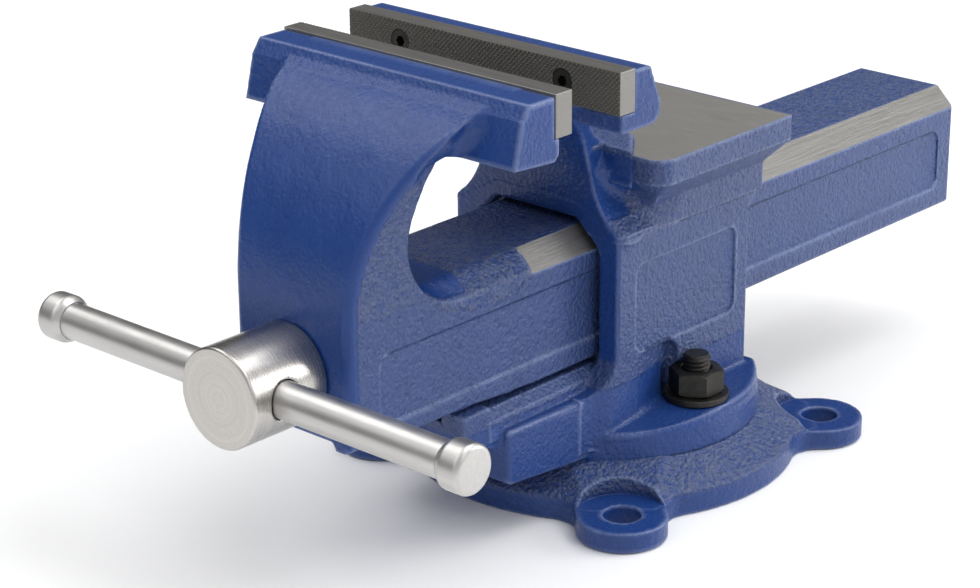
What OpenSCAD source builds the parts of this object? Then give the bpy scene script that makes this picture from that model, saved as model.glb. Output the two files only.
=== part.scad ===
// Quick-release bench vise on a swivel base.
// Frame: millimetres, +Z up, origin on the swivel axis at the bench surface.
// X runs along the jaws, -Y points to the handle, +Y to the tail of the slide.

/* [Jaws] */
// Width of both jaws
jaw_w = 150; // [130:1:180]
// Distance between the jaw faces as modelled
jaw_gap = 28; // [10:1:60]
// Widest opening of the jaws
jaw_open_max = 200; // [160:1:205]
// Height of the jaw plates' top above the bench
jaw_top = 205.5; // [200:0.5:215]
// Distance from the swivel axis forward to the fixed jaw face
jaw_reach = 81; // [76:1:90]
// Thickness of a jaw plate
plate_t = 10; // [8:0.5:11]
// Height of a jaw plate
plate_h = 18; // [15:0.5:20]
// How far a plate stands above its casting
plate_proud = 1; // [0.5:0.1:2]
// Distance between the two screws of a plate
plate_screw_pitch = 90; // [60:1:110]
// Diameter of a plate screw's shank
plate_screw_d = 6; // [5:0.5:7]
// Diameter of a plate screw's head
plate_screw_head_d = 10; // [8.5:0.5:11]

/* [Slide and arm] */
// Width of the slide bar and of the arm
slide_w = 64; // [58:1:66]
// Height of the slide's lower edges above the bench
slide_bottom = 62.5; // [61:0.5:63.5]
// Height of the slide's top above the bench
slide_top = 121; // [119.5:0.5:122]
// Machined bevel along the slide's upper edges
slide_bevel = 9.5; // [7:0.5:11]
// Thickness of the slide's side walls
slide_wall = 9; // [7:0.5:9]
// Thickness of the slide's roof
slide_roof = 9; // [7:0.5:9]
// Distance from the swivel axis back to the slide's tail end
slide_tail = 230; // [224:1:250]
// Distance from the jaw face forward to the arm's front
arm_depth = 83; // [79:1:88]
// Radius of the arm's front curve seen from the side
arm_curve_r = 88; // [85:1:92]
// Height at which that curve begins
arm_curve_z = 118; // [114:1:120]
// Radius of the throat arch behind the arm
throat_r = 41; // [38:0.5:43]
// Height of the throat arch's centre
throat_z = 149.5; // [147:0.5:152]
// Thickness of the arm's wall that carries the spindle
front_wall = 40; // [33:1:43]
// Depth of the long panels in the slide's sides
panel_depth = 1; // [0.5:0.1:1.5]

/* [Spindle] */
// Height of the spindle axis above the bench
spindle_z = 93.5; // [92.5:0.5:94]
// Diameter of the spindle head
head_d = 42; // [38:1:46]
// Length of the spindle head
head_len = 39; // [36:1:46]
// Distance from the head's front face back to the cross hole
head_hole_set = 17; // [14:0.5:19]
// Diameter of the head's hub, the journal in the arm
hub_d = 27; // [25:0.5:28]
// Diameter of the lead screw's plain end inside the hub
spigot_d = 16; // [14:0.5:16.5]
// Outer diameter of the lead screw
screw_d = 22; // [21:0.5:22.5]
// Advance of the lead screw in one turn
screw_lead = 8; // [6:0.5:10]
// Depth of the screw's thread
thread_depth = 2.4; // [2:0.1:2.5]

/* [Handle] */
// Diameter of the tommy bar
bar_d = 15.5; // [13:0.5:17]
// Length of the tommy bar with its knobs
bar_len = 238; // [220:1:280]
// Diameter of a knob
knob_d = 20.5; // [19:0.5:24]
// Length of a knob
knob_len = 13; // [11:1:28]

/* [Body] */
// Width of the body's housing
body_w = 94; // [92:1:98]
// Length of the body's housing along the slide
body_len = 91; // [88:1:96]
// Gap around the slide at the housing's openings
tunnel_gap = 3; // [2:0.25:3.5]
// Height of the housing's floor inside
floor_z = 53; // [51:0.5:54]
// Height of the shoulder where the side walls end
shoulder_z = 117.5; // [116:0.5:120]
// Radius of the waist under the fixed jaw, seen from the front
waist_r = 40; // [38:1:42]
// Half width of the waist
waist_half = 30; // [28:1:34]
// Height of the narrowest place of the waist
waist_z = 152; // [150:1:154]
// Width of the anvil
anvil_w = 124; // [110:1:130]
// Height of the anvil's top above the bench
anvil_top = 154.5; // [152:0.5:157]
// Distance from the swivel axis back to the anvil's rear edge
anvil_tail = 54; // [50:1:60]
// Width of the toe that carries the slide at the front
toe_w = 80; // [76:1:86]
// Distance from the swivel axis forward to the toe's front
toe_reach = 108; // [104:1:112]
// Distance from the swivel axis forward to the front of the toe's nose
nose_reach = 130; // [126:1:132]

/* [Swivel base] */
// Radius of the base at the bench
base_r = 88; // [86:1:94]
// Height of the base's top face
base_h = 20.5; // [19.5:0.5:22]
// Height of the base's upright rim
rim_h = 10.5; // [9.5:0.5:12]
// Radius of the body's round flange
flange_r = 71; // [70:0.5:74]
// Thickness of the flange
flange_t = 11; // [9:0.5:13]
// Diameter of the bench bolt circle
bolt_circle = 200; // [194:1:210]
// Diameter of the bench bolt holes
bolt_hole_d = 16.5; // [13:0.5:17]
// Radius of a lug's round end
lug_r = 19.5; // [17:0.5:21]
// Thickness of a lug
lug_t = 9.5; // [8:0.5:10.5]
// Diameter of the centre pivot
pivot_d = 36; // [30:1:40]

/* [Swivel lock] */
// Distance from the swivel axis to a lock bolt
lock_r = 54; // [53.5:0.5:55]
// Diameter of a lock bolt
lock_bolt_d = 14; // [12:0.5:14]
// Width across flats of a lock nut
nut_flats = 22; // [20:0.5:23]
// Height of a lock nut
nut_h = 11; // [9:0.5:13]
// Diameter of a lock washer
washer_d = 29; // [28:0.5:29.5]
// Thickness of a lock washer
washer_t = 2.8; // [2:0.1:3.5]
// Height of the ears that carry the washers
ear_z = 36.5; // [35:0.5:38]
// Length of bolt that stands out of the nut
bolt_stick_out = 8.5; // [5:0.5:12]

/* [Quick release] */
// Drop of the half nut when it is released
nut_drop = 4.2; // [3.8:0.1:4.5]
// Turn of the cam plate that drops the half nut, in degrees
cam_turn = 30; // [26:1:34]
// Length of the nut block along the screw
nut_block_len = 36; // [32:1:38]
// Thickness of the cam plate
cam_t = 4.4; // [3.5:0.1:5]

/* [Hidden] */
$fn = 64;

// Clearances
run_fit = 0.05;
slide_fit = 0.3;
part_gap = 0.3;
bolt_gap = 0.5;
// Overrun of a cut past the face it opens, and lap of joined solids
over = 1;

// Places along Y, at the modelled opening
fixed_face_y = -jaw_reach;
moving_face_y = fixed_face_y - jaw_gap;
fixed_seat_y = fixed_face_y + plate_t;
moving_seat_y = moving_face_y - plate_t;
arm_front_y = moving_face_y - arm_depth;
wall_back_y = arm_front_y + front_wall;
body_front_y = -body_len / 2;
body_rear_y = body_len / 2;
open_travel = jaw_open_max - jaw_gap;

// Heights
casting_top = jaw_top - plate_proud;
plate_bottom = jaw_top - plate_h;
plate_mid = jaw_top - plate_h / 2;
jaw_block_h = 8;
jaw_block_bottom = plate_bottom - jaw_block_h;
body_z = base_h + part_gap;
way_z = slide_bottom - slide_fit;

// Hollow of the slide
hollow_half = slide_w / 2 - slide_wall;

// Spindle
head_chamfer = 1.5;
head_r = head_d / 2;
hub_r = hub_d / 2;
head_back_y = arm_front_y - part_gap;
head_front_y = head_back_y - head_len;
bar_y = head_front_y + head_hole_set;
bar_gap = 0.4;
collar_t = 10;
thrust_t = 3;
collar_wall = 4.5;
collar_r = hub_r + collar_wall;
collar_y = wall_back_y + thrust_t + 2 * part_gap;
hub_end_y = collar_y + collar_t;
spigot_r = spigot_d / 2;
spigot_depth = 40;
spigot_y = hub_end_y - spigot_depth;
screw_r = screw_d / 2;
root_r = screw_r - thread_depth;
screw_sides = 12;
set_screw_d = 6;
set_socket_depth = 2;
knob_neck_t = 0.6;
knob_flare_len = 4;
knob_chamfer = 2.5;

// Nut block and quick release, all on the body
block_ahead = 22;
block_side_gap = 2;
block_half_w = hollow_half - block_side_gap;
block_front_y = -block_ahead;
block_rear_y = block_front_y + nut_block_len;
block_end_wall = 4;
block_bore_gap = 0.4;
block_bore_r = screw_r + block_bore_gap;
block_crown_t = 4;
block_crown_r = block_bore_r + block_crown_t;
boss_t = 1.8;
boss_r = block_bore_r + boss_t;
foot_half_len = 38;
foot_t = 8;
foot_top = floor_z + foot_t;
foot_screw_y = 30;
foot_screw_d = 8;
foot_screw_head_d = 13;
foot_screw_head_h = 8;
foot_screw_seat = 40;
foot_screw_tip_gap = 2;
foot_socket_d = 6;
foot_socket_depth = 4;
cavity_half_w = 14;
cavity_floor_t = 5;
cavity_floor = floor_z + cavity_floor_t;
nut_half_w = cavity_half_w - part_gap;
nut_front_y = block_front_y + block_end_wall + part_gap;
nut_rear_y = block_rear_y - block_end_wall - part_gap;
nut_top = spindle_z - screw_r / 2;
nut_web = 10;
nut_base = spindle_z - screw_r - nut_web;
nut_thread_gap = 0.45;
nut_flank_gap = 0.35;
cam_bore_r = boss_r + run_fit;
cam_rim_t = 2;
cam_rim_r = cam_bore_r + cam_rim_t;
cam_lug_r = 2.5;
cam_slot_gap = 0.5;
cam_slot_half = cam_lug_r + cam_slot_gap;
cam_slot_over = 8;
cam_rate = nut_drop / cam_turn;
cam_lug_set = cam_rim_r + cam_slot_half + cam_slot_over * cam_rate;
cam_edge = 1.6;
cam_sector_r = cam_lug_set + nut_drop + cam_slot_over * cam_rate + cam_slot_half + cam_edge;
cam_edge_turn = 4;
cam_sector_half = cam_turn / 2 + cam_slot_over + cam_edge_turn;
cam_slot_steps = 8;
cam_y = block_rear_y + part_gap;
ring_y = cam_y + cam_t;
ring_t = 2.2;
ring_in_r = screw_r + 2 * run_fit;
ring_w = 2.2;
ring_out_r = ring_in_r + ring_w;
ring_split = 2;
cup_t = 2.4;
cup_r = ring_out_r + cup_t;
cover_y = ring_y + ring_t + part_gap;
cover_t = 2;
cover_screw_d = 3;
cover_screw_head_r = 2.75;
cover_screw_head_h = 1.8;
cover_screw_len = 5;
cover_screw_x = block_half_w - cover_screw_head_r - part_gap;
cover_screw_z = foot_top + cover_screw_head_r + part_gap;
cover_foot_half = 2.5;
lug_high_z = spindle_z - cam_lug_set + cam_lug_r + part_gap;
lug_low_z = spindle_z - cam_lug_set - nut_drop - cam_lug_r - part_gap;
stop_gap = 2;
stop_t = 10;
stop_wall = 4;
stop_r = screw_r + stop_wall;
stop_y = cover_y + cover_t + stop_gap + open_travel;
tail_spigot_r = 7;
thread_y0 = block_front_y - jaw_gap - screw_lead;
thread_end_gap = 2;
thread_turns = floor((stop_y - thread_end_gap - thread_y0) / screw_lead) - 1;
// Corners of the thread's section along one turn, as shares of the lead
thread_shares = [0.1, 0.2, 0.5, 0.6];
nut_cut_y0 = thread_y0 + screw_lead * floor((nut_front_y - thread_y0) / screw_lead - 2);
nut_cut_turns = ceil((nut_rear_y - nut_front_y) / screw_lead) + 3;
nut_cut_y1 = nut_cut_y0 + screw_lead * (nut_cut_turns + 1);
spring_wire_d = 1.6;
spring_r = 5;
spring_coils = 4;
spring_steps = 8;
spring_sides = 6;
spring_set = 7;
spring_y = [nut_front_y + spring_set, nut_rear_y - spring_set];
spring_base = cavity_floor + part_gap;
spring_h = nut_base - part_gap - spring_base;

// Swivel lock
slot_half = lock_bolt_d / 2 + bolt_gap;
tee_half = 12;
tee_floor = 4.5;
tee_roof = 12;
tee_head = 20;
tee_entry_gap = 2;
tee_entry_r = tee_half + tee_entry_gap;
tee_head_t = tee_roof - tee_floor - 2 * part_gap;
lock_hole_d = lock_bolt_d + 2 * bolt_gap;
bay_gap = 1.5;
bay_r = washer_d / 2 + bay_gap;
bay_head = 5;
scoop_len = 33;
scoop_depth = 7;
scoop_h = 27;
nut_z = ear_z + washer_t;
bolt_top = nut_z + nut_h + bolt_stick_out;
bolt_chamfer = 1.5;
pivot_depth = 13;
lug_root = 25;

// Body casting
shoulder_w = 9;
shoulder_h = 5.5;
ledge_top = 130;
ledge_front_y = -40;
ledge_full_y = -4;
anvil_front_y = -37;
anvil_t = 11;
anvil_corner_r = 9;
neck_arch_r = 34;
neck_arch_z = 142.5;
neck_foot = 15;
neck_hollow_r = 31.5;
neck_root_h = 2;
neck_root_front_half = 46;
neck_root_rear_half = 31;
neck_root_len = 19;
tunnel_corner_r = 12;
land_set = 6;
toe_top = 50;
toe_rise = 5;
toe_root = 6;
toe_flare = 2;
toe_pad_len = 16;
nose_bottom = 49;
nose_root = 41;
toe_cove_r = 18;
rail_drop = 5;
rail_top = way_z - rail_drop;
rail_in = 24;
rail_top_out = 31.5;
rail_out = 35.5;
rail_edge = 2.2;
flange_draft = 1.5;
ear_front = 22;
ear_back = 40;
wall_panel_margin = 11;
wall_panel_bottom = 64;
wall_panel_r = 5;

// Jaw castings
jaw_lip = 2.5;
fixed_crest_t = 10;
fixed_back_t = 17;
moving_crest_t = 14.5;
moving_back_t = 23;
moving_heel = 1.5;
moving_lip_rise = 1;
fixed_heel = [5, 2];
fixed_back_draft = 1;
plate_screw_head_h = 6;
plate_screw_sink = 0.5;
plate_screw_grip = 10;

// Arm and slide casting
throat_set = 9;
throat_y = moving_face_y - throat_set;
arm_flare_r = 170;
arm_flare_z = 115;
arm_rise = 2.5;
arm_rise_set = 58;
arm_rise_len = 50;
arm_notch_h = 6;
slide_panel_margin = 10;
slide_panel_front = 18;
slide_panel_tail = 11;
slide_panel_r = 6;

blue = "#2b4596";
steel = "#b9b7b2";
dark = "#3a3936";
machined = "#a7a49d";
bronze = "#b08d57";

// Shared shapes

// A flat outline in Y and Z, swept along X and centred
module along_x(len) {
    rotate([90, 0, 90])
        linear_extrude(height = len, center = true) children();
}

// A flat outline in X and Z, swept from y0 to y1
module along_y(y0, y1) {
    translate([0, y1, 0])
        rotate([90, 0, 0])
            linear_extrude(height = y1 - y0) children();
}

module both_sides() {
    children();
    mirror([1, 0, 0]) children();
}

// A cylinder along Y that starts at y0
module rod_y(r, y0, len) {
    translate([0, y0, 0])
        rotate([-90, 0, 0]) cylinder(r = r, h = len);
}

// A ring along Y
module ring_along_y(r_in, r_out, y0, len) {
    difference() {
        rod_y(r_out, y0, len);
        rod_y(r_in, y0 - over, len + 2 * over);
    }
}

// A flat rectangle with round corners, from its lower left corner
module round_rect(size, r) {
    translate([r, 0]) square([size[0] - 2 * r, size[1]]);
    translate([0, r]) square([size[0], size[1] - 2 * r]);
    for (x = [r, size[0] - r], y = [r, size[1] - r]) translate([x, y]) circle(r = r);
}

// The slide's outer outline, grown by c on every side
module slide_outline(c = 0) {
    half = slide_w / 2 + c;
    corner = slide_bevel - c * (sqrt(2) - 1) + c;
    polygon([
        [-half, slide_bottom - c], [half, slide_bottom - c],
        [half, slide_top + c - corner], [half - corner, slide_top + c],
        [corner - half, slide_top + c], [-half, slide_top + c - corner]
    ]);
}

// A screw along +Y: a plain front end, a trapezoid thread and a plain tail, as one skin of triangles.
// Rows of four points follow the helix, one row per side, and each row joins the row one turn later.
// grow and flank widen the thread to cut a nut that clears it.
module screw_solid(r_front, y_front, r_tail, y_tail, y0, turns, grow = 0, flank = 0) {
    n = screw_sides;
    rows = turns * n;
    m = rows - n;
    step = 360 / n;
    root = root_r + grow;
    crest = screw_r + grow;
    y1 = y0 + screw_lead * (turns + 1);
    widen = flank / screw_lead;
    profile_u = thread_shares + widen * [-1, -1, 1, 1];
    profile_r = [root, crest, crest, root];
    function at(r, i, y) = [r * sin(i * step), y, r * cos(i * step)];
    function ring(r, y) = [for (i = [0:n - 1]) at(r, i, y)];
    helix = [for (i = [0:rows], j = [0:3])
        at(profile_r[j], i, y0 + screw_lead * (i / n + profile_u[j]))];
    rings = concat(ring(r_front, y_front), ring(r_front, y0), ring(root, y0),
        ring(root, y1), ring(r_tail, y1), ring(r_tail, y_tail));
    // p: a point of the helix; q: a point of ring k
    function p(i, j) = 4 * i + j;
    function q(k, i) = 4 * (rows + 1) + k * n + i % n;
    // Two triangles of a patch whose corners run a, b along the turn and d, c one step on
    function patch(a, b, c, d) = [[a, d, b], [b, d, c]];
    threads = [for (i = [0:rows - 1], j = [0:2])
        each patch(p(i, j), p(i + 1, j), p(i + 1, j + 1), p(i, j + 1))];
    roots = [for (i = [0:m - 1]) each patch(p(i, 3), p(i + 1, 3), p(i + n + 1, 0), p(i + n, 0))];
    entry = [for (i = [0:n - 2]) each patch(q(2, i), q(2, i + 1), p(i + 1, 0), p(i, 0))];
    entry_seam = [[q(2, n - 1), p(n - 1, 0), q(2, 0)], [q(2, 0), p(n - 1, 0), p(0, 0)],
        [p(0, 0), p(n - 1, 0), p(0, 3)], [p(0, 3), p(n - 1, 0), p(n, 0)],
        [p(0, 0), p(0, 2), p(0, 1)], [p(0, 0), p(0, 3), p(0, 2)]];
    exit = [for (i = [1:n - 1]) each patch(p(m + i, 3), p(m + i + 1, 3), q(3, i + 1), q(3, i))];
    exit_seam = [[p(m + 1, 3), q(3, 0), q(3, 1)], [p(m + 1, 3), p(rows, 3), q(3, 0)],
        [p(m + 1, 3), p(rows, 0), p(rows, 3)], [p(m + 1, 3), p(m, 3), p(rows, 0)],
        [p(rows, 0), p(rows, 1), p(rows, 2)], [p(rows, 0), p(rows, 2), p(rows, 3)]];
    bands = [for (k = [0, 1, 3, 4], i = [0:n - 1])
        each patch(q(k, i), q(k, i + 1), q(k + 1, i + 1), q(k + 1, i))];
    caps = [for (i = [1:n - 2])
        each [[q(0, 0), q(0, i), q(0, i + 1)], [q(5, 0), q(5, i + 1), q(5, i)]]];
    polyhedron(concat(helix, rings),
        concat(threads, roots, entry, entry_seam, exit, exit_seam, bands, caps));
}

// Swivel base: a round casting with four lugs and a ring-shaped tee slot for the lock bolts

module base_lug() {
    linear_extrude(height = lug_t) {
        translate([bolt_circle / 2, 0]) circle(r = lug_r);
        translate([base_r - lug_root, -lug_r])
            square([bolt_circle / 2 - base_r + lug_root, 2 * lug_r]);
    }
}

module swivel_base() {
    color(blue)
    difference() {
        union() {
            rotate_extrude()
                polygon([[0, 0], [base_r, 0], [base_r, rim_h], [flange_r, base_h], [0, base_h]]);
            for (a = [45:90:315]) rotate(a) base_lug();
        }
        translate([0, 0, -over]) cylinder(d = pivot_d + 2 * run_fit, h = base_h + 2 * over);
        rotate_extrude() {
            translate([lock_r - slot_half, tee_floor]) square([2 * slot_half, base_h]);
            translate([lock_r - tee_half, tee_floor]) square([2 * tee_half, tee_roof - tee_floor]);
        }
        // Way in for the bolt heads
        translate([0, lock_r, tee_floor]) cylinder(r = tee_entry_r, h = base_h);
        for (a = [45:90:315]) rotate(a)
            translate([bolt_circle / 2, 0, -over]) cylinder(d = bolt_hole_d, h = lug_t + 2 * over);
    }
}

// Vise body: housing with the slide's tunnel, anvil, fixed jaw, flange and toe in one casting

module housing_outline() {
    half = body_w / 2;
    square_half = half - shoulder_w;
    polygon([[-half, body_z], [half, body_z],
        [half, shoulder_z], [square_half, shoulder_z + shoulder_h],
        [-square_half, shoulder_z + shoulder_h], [-half, shoulder_z]]);
}

// Upright strip between the shoulder and the anvil, drawn in towards the front
module ledge() {
    half = body_w / 2;
    neck = half - shoulder_w;
    translate([0, 0, shoulder_z]) linear_extrude(height = ledge_top - shoulder_z)
        polygon([[-neck, ledge_front_y], [neck, ledge_front_y], [half, ledge_full_y],
            [half, anvil_tail], [-half, anvil_tail], [-half, ledge_full_y]]);
}

// Hollow corner that carries the ledge's overhang behind the housing
module rear_cove() {
    r = anvil_tail - body_rear_y;
    along_x(body_w) difference() {
        translate([body_rear_y - over, shoulder_z - r]) square([r + over, r + over]);
        translate([anvil_tail, shoulder_z - r]) circle(r = r);
    }
}

module anvil_outline() {
    half = anvil_w / 2;
    neck = body_w / 2 - shoulder_w;
    band_z = anvil_top - anvil_t;
    right = [[neck, shoulder_z], [body_w / 2, ledge_top], [half, band_z], [half, anvil_top]];
    left = [for (i = [len(right) - 1:-1:0]) [-right[i][0], right[i][1]]];
    polygon(concat(right, left));
}

module anvil() {
    intersection() {
        along_y(anvil_front_y, anvil_tail) anvil_outline();
        translate([-anvil_w / 2, anvil_front_y, 0])
            linear_extrude(height = anvil_top + over)
                round_rect([anvil_w, anvil_tail - anvil_front_y], anvil_corner_r);
    }
}

// Side view of the neck between the arch in front and the hollow behind
module neck_side() {
    arch_y = body_front_y - neck_arch_r;
    difference() {
        translate([arch_y, shoulder_z])
            square([anvil_front_y - arch_y + neck_foot, plate_bottom - shoulder_z]);
        translate([arch_y, neck_arch_z]) circle(r = neck_arch_r);
        translate([arch_y - over, shoulder_z - over])
            square([neck_arch_r + over, neck_arch_z - shoulder_z + over]);
        translate([anvil_front_y + neck_foot, anvil_top + neck_hollow_r]) circle(r = neck_hollow_r);
    }
}

// Front view of the waist under the fixed jaw
module waist_front() {
    difference() {
        translate([-jaw_w / 2, shoulder_z]) square([jaw_w, plate_bottom - shoulder_z]);
        for (s = [-1, 1]) translate([s * (waist_half + waist_r), waist_z]) circle(r = waist_r);
    }
}

module neck() {
    intersection() {
        along_x(jaw_w) neck_side();
        along_y(-jaw_reach - over, anvil_tail) waist_front();
    }
}

// Low root of the neck on the anvil, which ends the ground face
module neck_root() {
    rear_y = anvil_front_y + neck_root_len;
    translate([0, 0, anvil_top - over]) linear_extrude(height = neck_root_h + over)
        polygon([[-neck_root_front_half, anvil_front_y], [neck_root_front_half, anvil_front_y],
            [neck_root_rear_half, rear_y], [-neck_root_rear_half, rear_y]]);
}

// End view of the fixed jaw, with the seat and lip for its plate
module fixed_jaw_side() {
    back_y = fixed_seat_y + fixed_back_t;
    lip_y = fixed_face_y + jaw_lip;
    polygon([[fixed_seat_y, casting_top], [fixed_seat_y + fixed_crest_t, casting_top],
        [back_y, plate_bottom], [back_y - fixed_back_draft, jaw_block_bottom + fixed_heel[1]],
        [back_y - fixed_heel[0], jaw_block_bottom],
        [lip_y, jaw_block_bottom], [lip_y, plate_bottom], [fixed_seat_y, plate_bottom]]);
}

// Opening for the slide, with round lower corners
module tunnel_outline() {
    half = slide_w / 2 + tunnel_gap;
    difference() {
        slide_outline(tunnel_gap);
        translate([-half - over, floor_z]) square([2 * (half + over), tunnel_corner_r]);
    }
    intersection() {
        translate([-half, floor_z]) round_rect([2 * half, slide_top - floor_z], tunnel_corner_r);
        translate([-half, floor_z]) square([2 * half, tunnel_corner_r]);
    }
}

// Machined lands that carry the slide: two at its bevels, two under its walls
module slide_lands() {
    bevel_out = slide_fit / sqrt(2);
    land_out = (tunnel_gap + over) / sqrt(2);
    x0 = slide_w / 2 - slide_bevel;
    z0 = slide_top - slide_bevel;
    both_sides() {
        along_y(body_front_y + land_set, body_rear_y)
            polygon([[x0 + bevel_out, slide_top + bevel_out], [slide_w / 2 + bevel_out, z0 + bevel_out],
                [slide_w / 2 + land_out, z0 + land_out], [x0 + land_out, slide_top + land_out]]);
        along_y(body_front_y + land_set, body_rear_y)
            translate([hollow_half - over, floor_z - over])
                square([slide_wall + tunnel_gap, way_z - floor_z + over]);
        along_y(-nose_reach, -nose_reach + toe_pad_len)
            translate([hollow_half - over, rail_top - over])
                square([rail_out - hollow_half + over, rail_drop + over]);
    }
}

// Toe under the front of the slide, a little wider at its root
module toe() {
    root_y = body_front_y + toe_root;
    intersection() {
        along_x(body_w) polygon([[-toe_reach, body_z + toe_rise], [-toe_reach, toe_top],
            [root_y, toe_top], [root_y, body_z]]);
        linear_extrude(height = toe_top + over)
            polygon([[-toe_w / 2, -toe_reach], [toe_w / 2, -toe_reach],
                [toe_w / 2 + toe_flare, root_y], [-toe_w / 2 - toe_flare, root_y]]);
    }
}

// Nose in front of the toe, a cross bar on a sloping bracket, which carries the front pads
module nose() {
    bar_rear_y = toe_pad_len - nose_reach;
    along_x(2 * rail_out) polygon([[-nose_reach, nose_bottom], [over - toe_reach, nose_root],
        [over - toe_reach, toe_top], [bar_rear_y, toe_top], [bar_rear_y, rail_top],
        [-nose_reach, rail_top]]);
}

// Rails along the toe's sides, and the hollow corners where they meet the housing's front
module toe_rails() {
    tunnel_half = slide_w / 2 + tunnel_gap;
    both_sides() {
        along_y(toe_pad_len - nose_reach - over, body_front_y + toe_root)
            polygon([[rail_in, toe_top - over], [rail_out, toe_top - over], [rail_out, toe_top + rail_edge],
                [rail_top_out, rail_top], [rail_in, rail_top]]);
        translate([(tunnel_half + toe_w / 2) / 2, 0, 0]) along_x(toe_w / 2 - tunnel_half) difference() {
            translate([body_front_y - toe_cove_r, toe_top - over]) square(toe_cove_r + over);
            translate([body_front_y - toe_cove_r, toe_top + toe_cove_r]) circle(r = toe_cove_r);
        }
    }
}

module flange() {
    translate([0, 0, body_z]) cylinder(r1 = flange_r, r2 = flange_r - flange_draft, h = flange_t);
    both_sides() intersection() {
        translate([0, 0, body_z]) cylinder(r = flange_r - flange_draft, h = ear_z - body_z);
        translate([0, -ear_front, body_z]) cube([flange_r, ear_front + ear_back, ear_z - body_z]);
    }
}

// Bay in the side wall round a lock nut, with a scoop in front of it for a spanner
module nut_bay() {
    half = body_w / 2;
    translate([lock_r, 0, ear_z]) cylinder(r = bay_r, h = nut_h + bay_head);
    translate([0, 0, ear_z]) linear_extrude(height = scoop_h)
        polygon([[half, -scoop_len], [half + over, -scoop_len], [half + over, 0],
            [half - scoop_depth, 0]]);
}

module side_panel() {
    size = [body_len - 2 * wall_panel_margin, shoulder_z - wall_panel_margin - wall_panel_bottom];
    translate([body_w / 2 - panel_depth, body_front_y + wall_panel_margin, wall_panel_bottom])
        rotate([90, 0, 90]) linear_extrude(height = panel_depth + over) round_rect(size, wall_panel_r);
}

// Children at the two screw places of a plate, turned so that +Z points into the casting
module at_plate_screws(face_y, dir) {
    for (s = [-1, 1]) translate([s * plate_screw_pitch / 2, face_y, plate_mid])
        rotate([-90 * dir, 0, 0]) children();
}

module plate_screw_holes(face_y, dir) {
    at_plate_screws(face_y, dir)
        cylinder(d = plate_screw_d + 2 * run_fit, h = plate_t + plate_screw_grip + over);
}

module vise_body() {
    color(blue) {
        difference() {
            union() {
                along_y(body_front_y, body_rear_y) housing_outline();
                ledge();
                rear_cove();
                anvil();
                neck();
                neck_root();
                along_x(jaw_w) fixed_jaw_side();
                flange();
                toe();
                nose();
                toe_rails();
                translate([0, 0, body_z - pivot_depth]) cylinder(d = pivot_d, h = pivot_depth + over);
            }
            along_y(body_front_y - over, anvil_tail + over) tunnel_outline();
            plate_screw_holes(fixed_face_y, 1);
            both_sides() {
                nut_bay();
                side_panel();
                translate([lock_r, 0, 0]) cylinder(d = lock_hole_d, h = ear_z + over);
            }
            for (s = [-1, 1]) translate([0, s * foot_screw_y, 0]) {
                translate([0, 0, body_z - over])
                    cylinder(d = foot_screw_head_d + 2 * bolt_gap, h = foot_screw_seat - body_z + over);
                cylinder(d = foot_screw_d + bolt_gap, h = floor_z + over);
            }
        }
        slide_lands();
    }
}

// Jaw plates and their screws

module jaw_plate(face_y, dir) {
    difference() {
        translate([-jaw_w / 2, min(face_y, face_y + dir * plate_t), plate_bottom])
            cube([jaw_w, plate_t, plate_h]);
        at_plate_screws(face_y, dir) translate([0, 0, -over]) {
            cylinder(d = plate_screw_d + bolt_gap, h = plate_t + 2 * over);
            cylinder(d = plate_screw_head_d + bolt_gap, h = plate_screw_sink + plate_screw_head_h + over);
        }
    }
}

// Socket-head screws, sunk a little below the plate's face
module plate_screws(face_y, dir) {
    socket_d = plate_screw_head_d / 2;
    at_plate_screws(face_y, dir) difference() {
        union() {
            translate([0, 0, plate_screw_sink]) {
                cylinder(d = plate_screw_head_d, h = plate_screw_head_h);
                cylinder(d = plate_screw_d, h = plate_t + plate_screw_grip);
            }
        }
        cylinder(d = socket_d, h = plate_screw_sink + plate_screw_head_h / 2, $fn = 6);
    }
}

module fixed_jaw_plate() {
    color(machined) jaw_plate(fixed_face_y, 1);
}

module fixed_plate_screws() {
    color(dark) plate_screws(fixed_face_y, 1);
}

module moving_jaw_plate() {
    color(machined) jaw_plate(moving_face_y, -1);
}

module moving_plate_screws() {
    color(dark) plate_screws(moving_face_y, -1);
}

// Moving jaw: arm, jaw and slide bar in one casting

// Side view of the arm: a round front, and the throat arch behind
module arm_side() {
    difference() {
        union() {
            intersection() {
                translate([arm_front_y + arm_curve_r, arm_curve_z]) circle(r = arm_curve_r);
                translate([arm_front_y, arm_curve_z])
                    square([moving_seat_y - arm_front_y, casting_top - arm_curve_z]);
            }
            translate([arm_front_y, slide_bottom])
                square([throat_y - arm_front_y, arm_curve_z - slide_bottom]);
        }
        intersection() {
            union() {
                translate([throat_y, throat_z]) circle(r = throat_r);
                translate([throat_y, throat_z - throat_r]) square([throat_r, 2 * throat_r]);
            }
            translate([arm_front_y, slide_bottom])
                square([arm_depth, jaw_block_bottom - slide_bottom]);
        }
    }
}

// Front view of the arm, which flares from the slide's width towards the jaw
module arm_front() {
    difference() {
        translate([-jaw_w / 2, slide_bottom]) square([jaw_w, casting_top - slide_bottom]);
        both_sides() {
            translate([slide_w / 2 + arm_flare_r, arm_flare_z]) circle(r = arm_flare_r);
            translate([slide_w / 2, slide_bottom - over])
                square([jaw_w, arm_flare_z - slide_bottom + over]);
        }
    }
}

// End view of the moving jaw, with the seat and lip for its plate
module moving_jaw_side() {
    lip_y = moving_seat_y + jaw_lip;
    polygon([[moving_seat_y, casting_top], [moving_seat_y - moving_crest_t, casting_top],
        [moving_seat_y - moving_back_t, jaw_block_bottom], [moving_seat_y, jaw_block_bottom - moving_heel],
        [lip_y, jaw_block_bottom + moving_lip_rise], [lip_y, plate_bottom], [moving_seat_y, plate_bottom]]);
}

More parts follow.
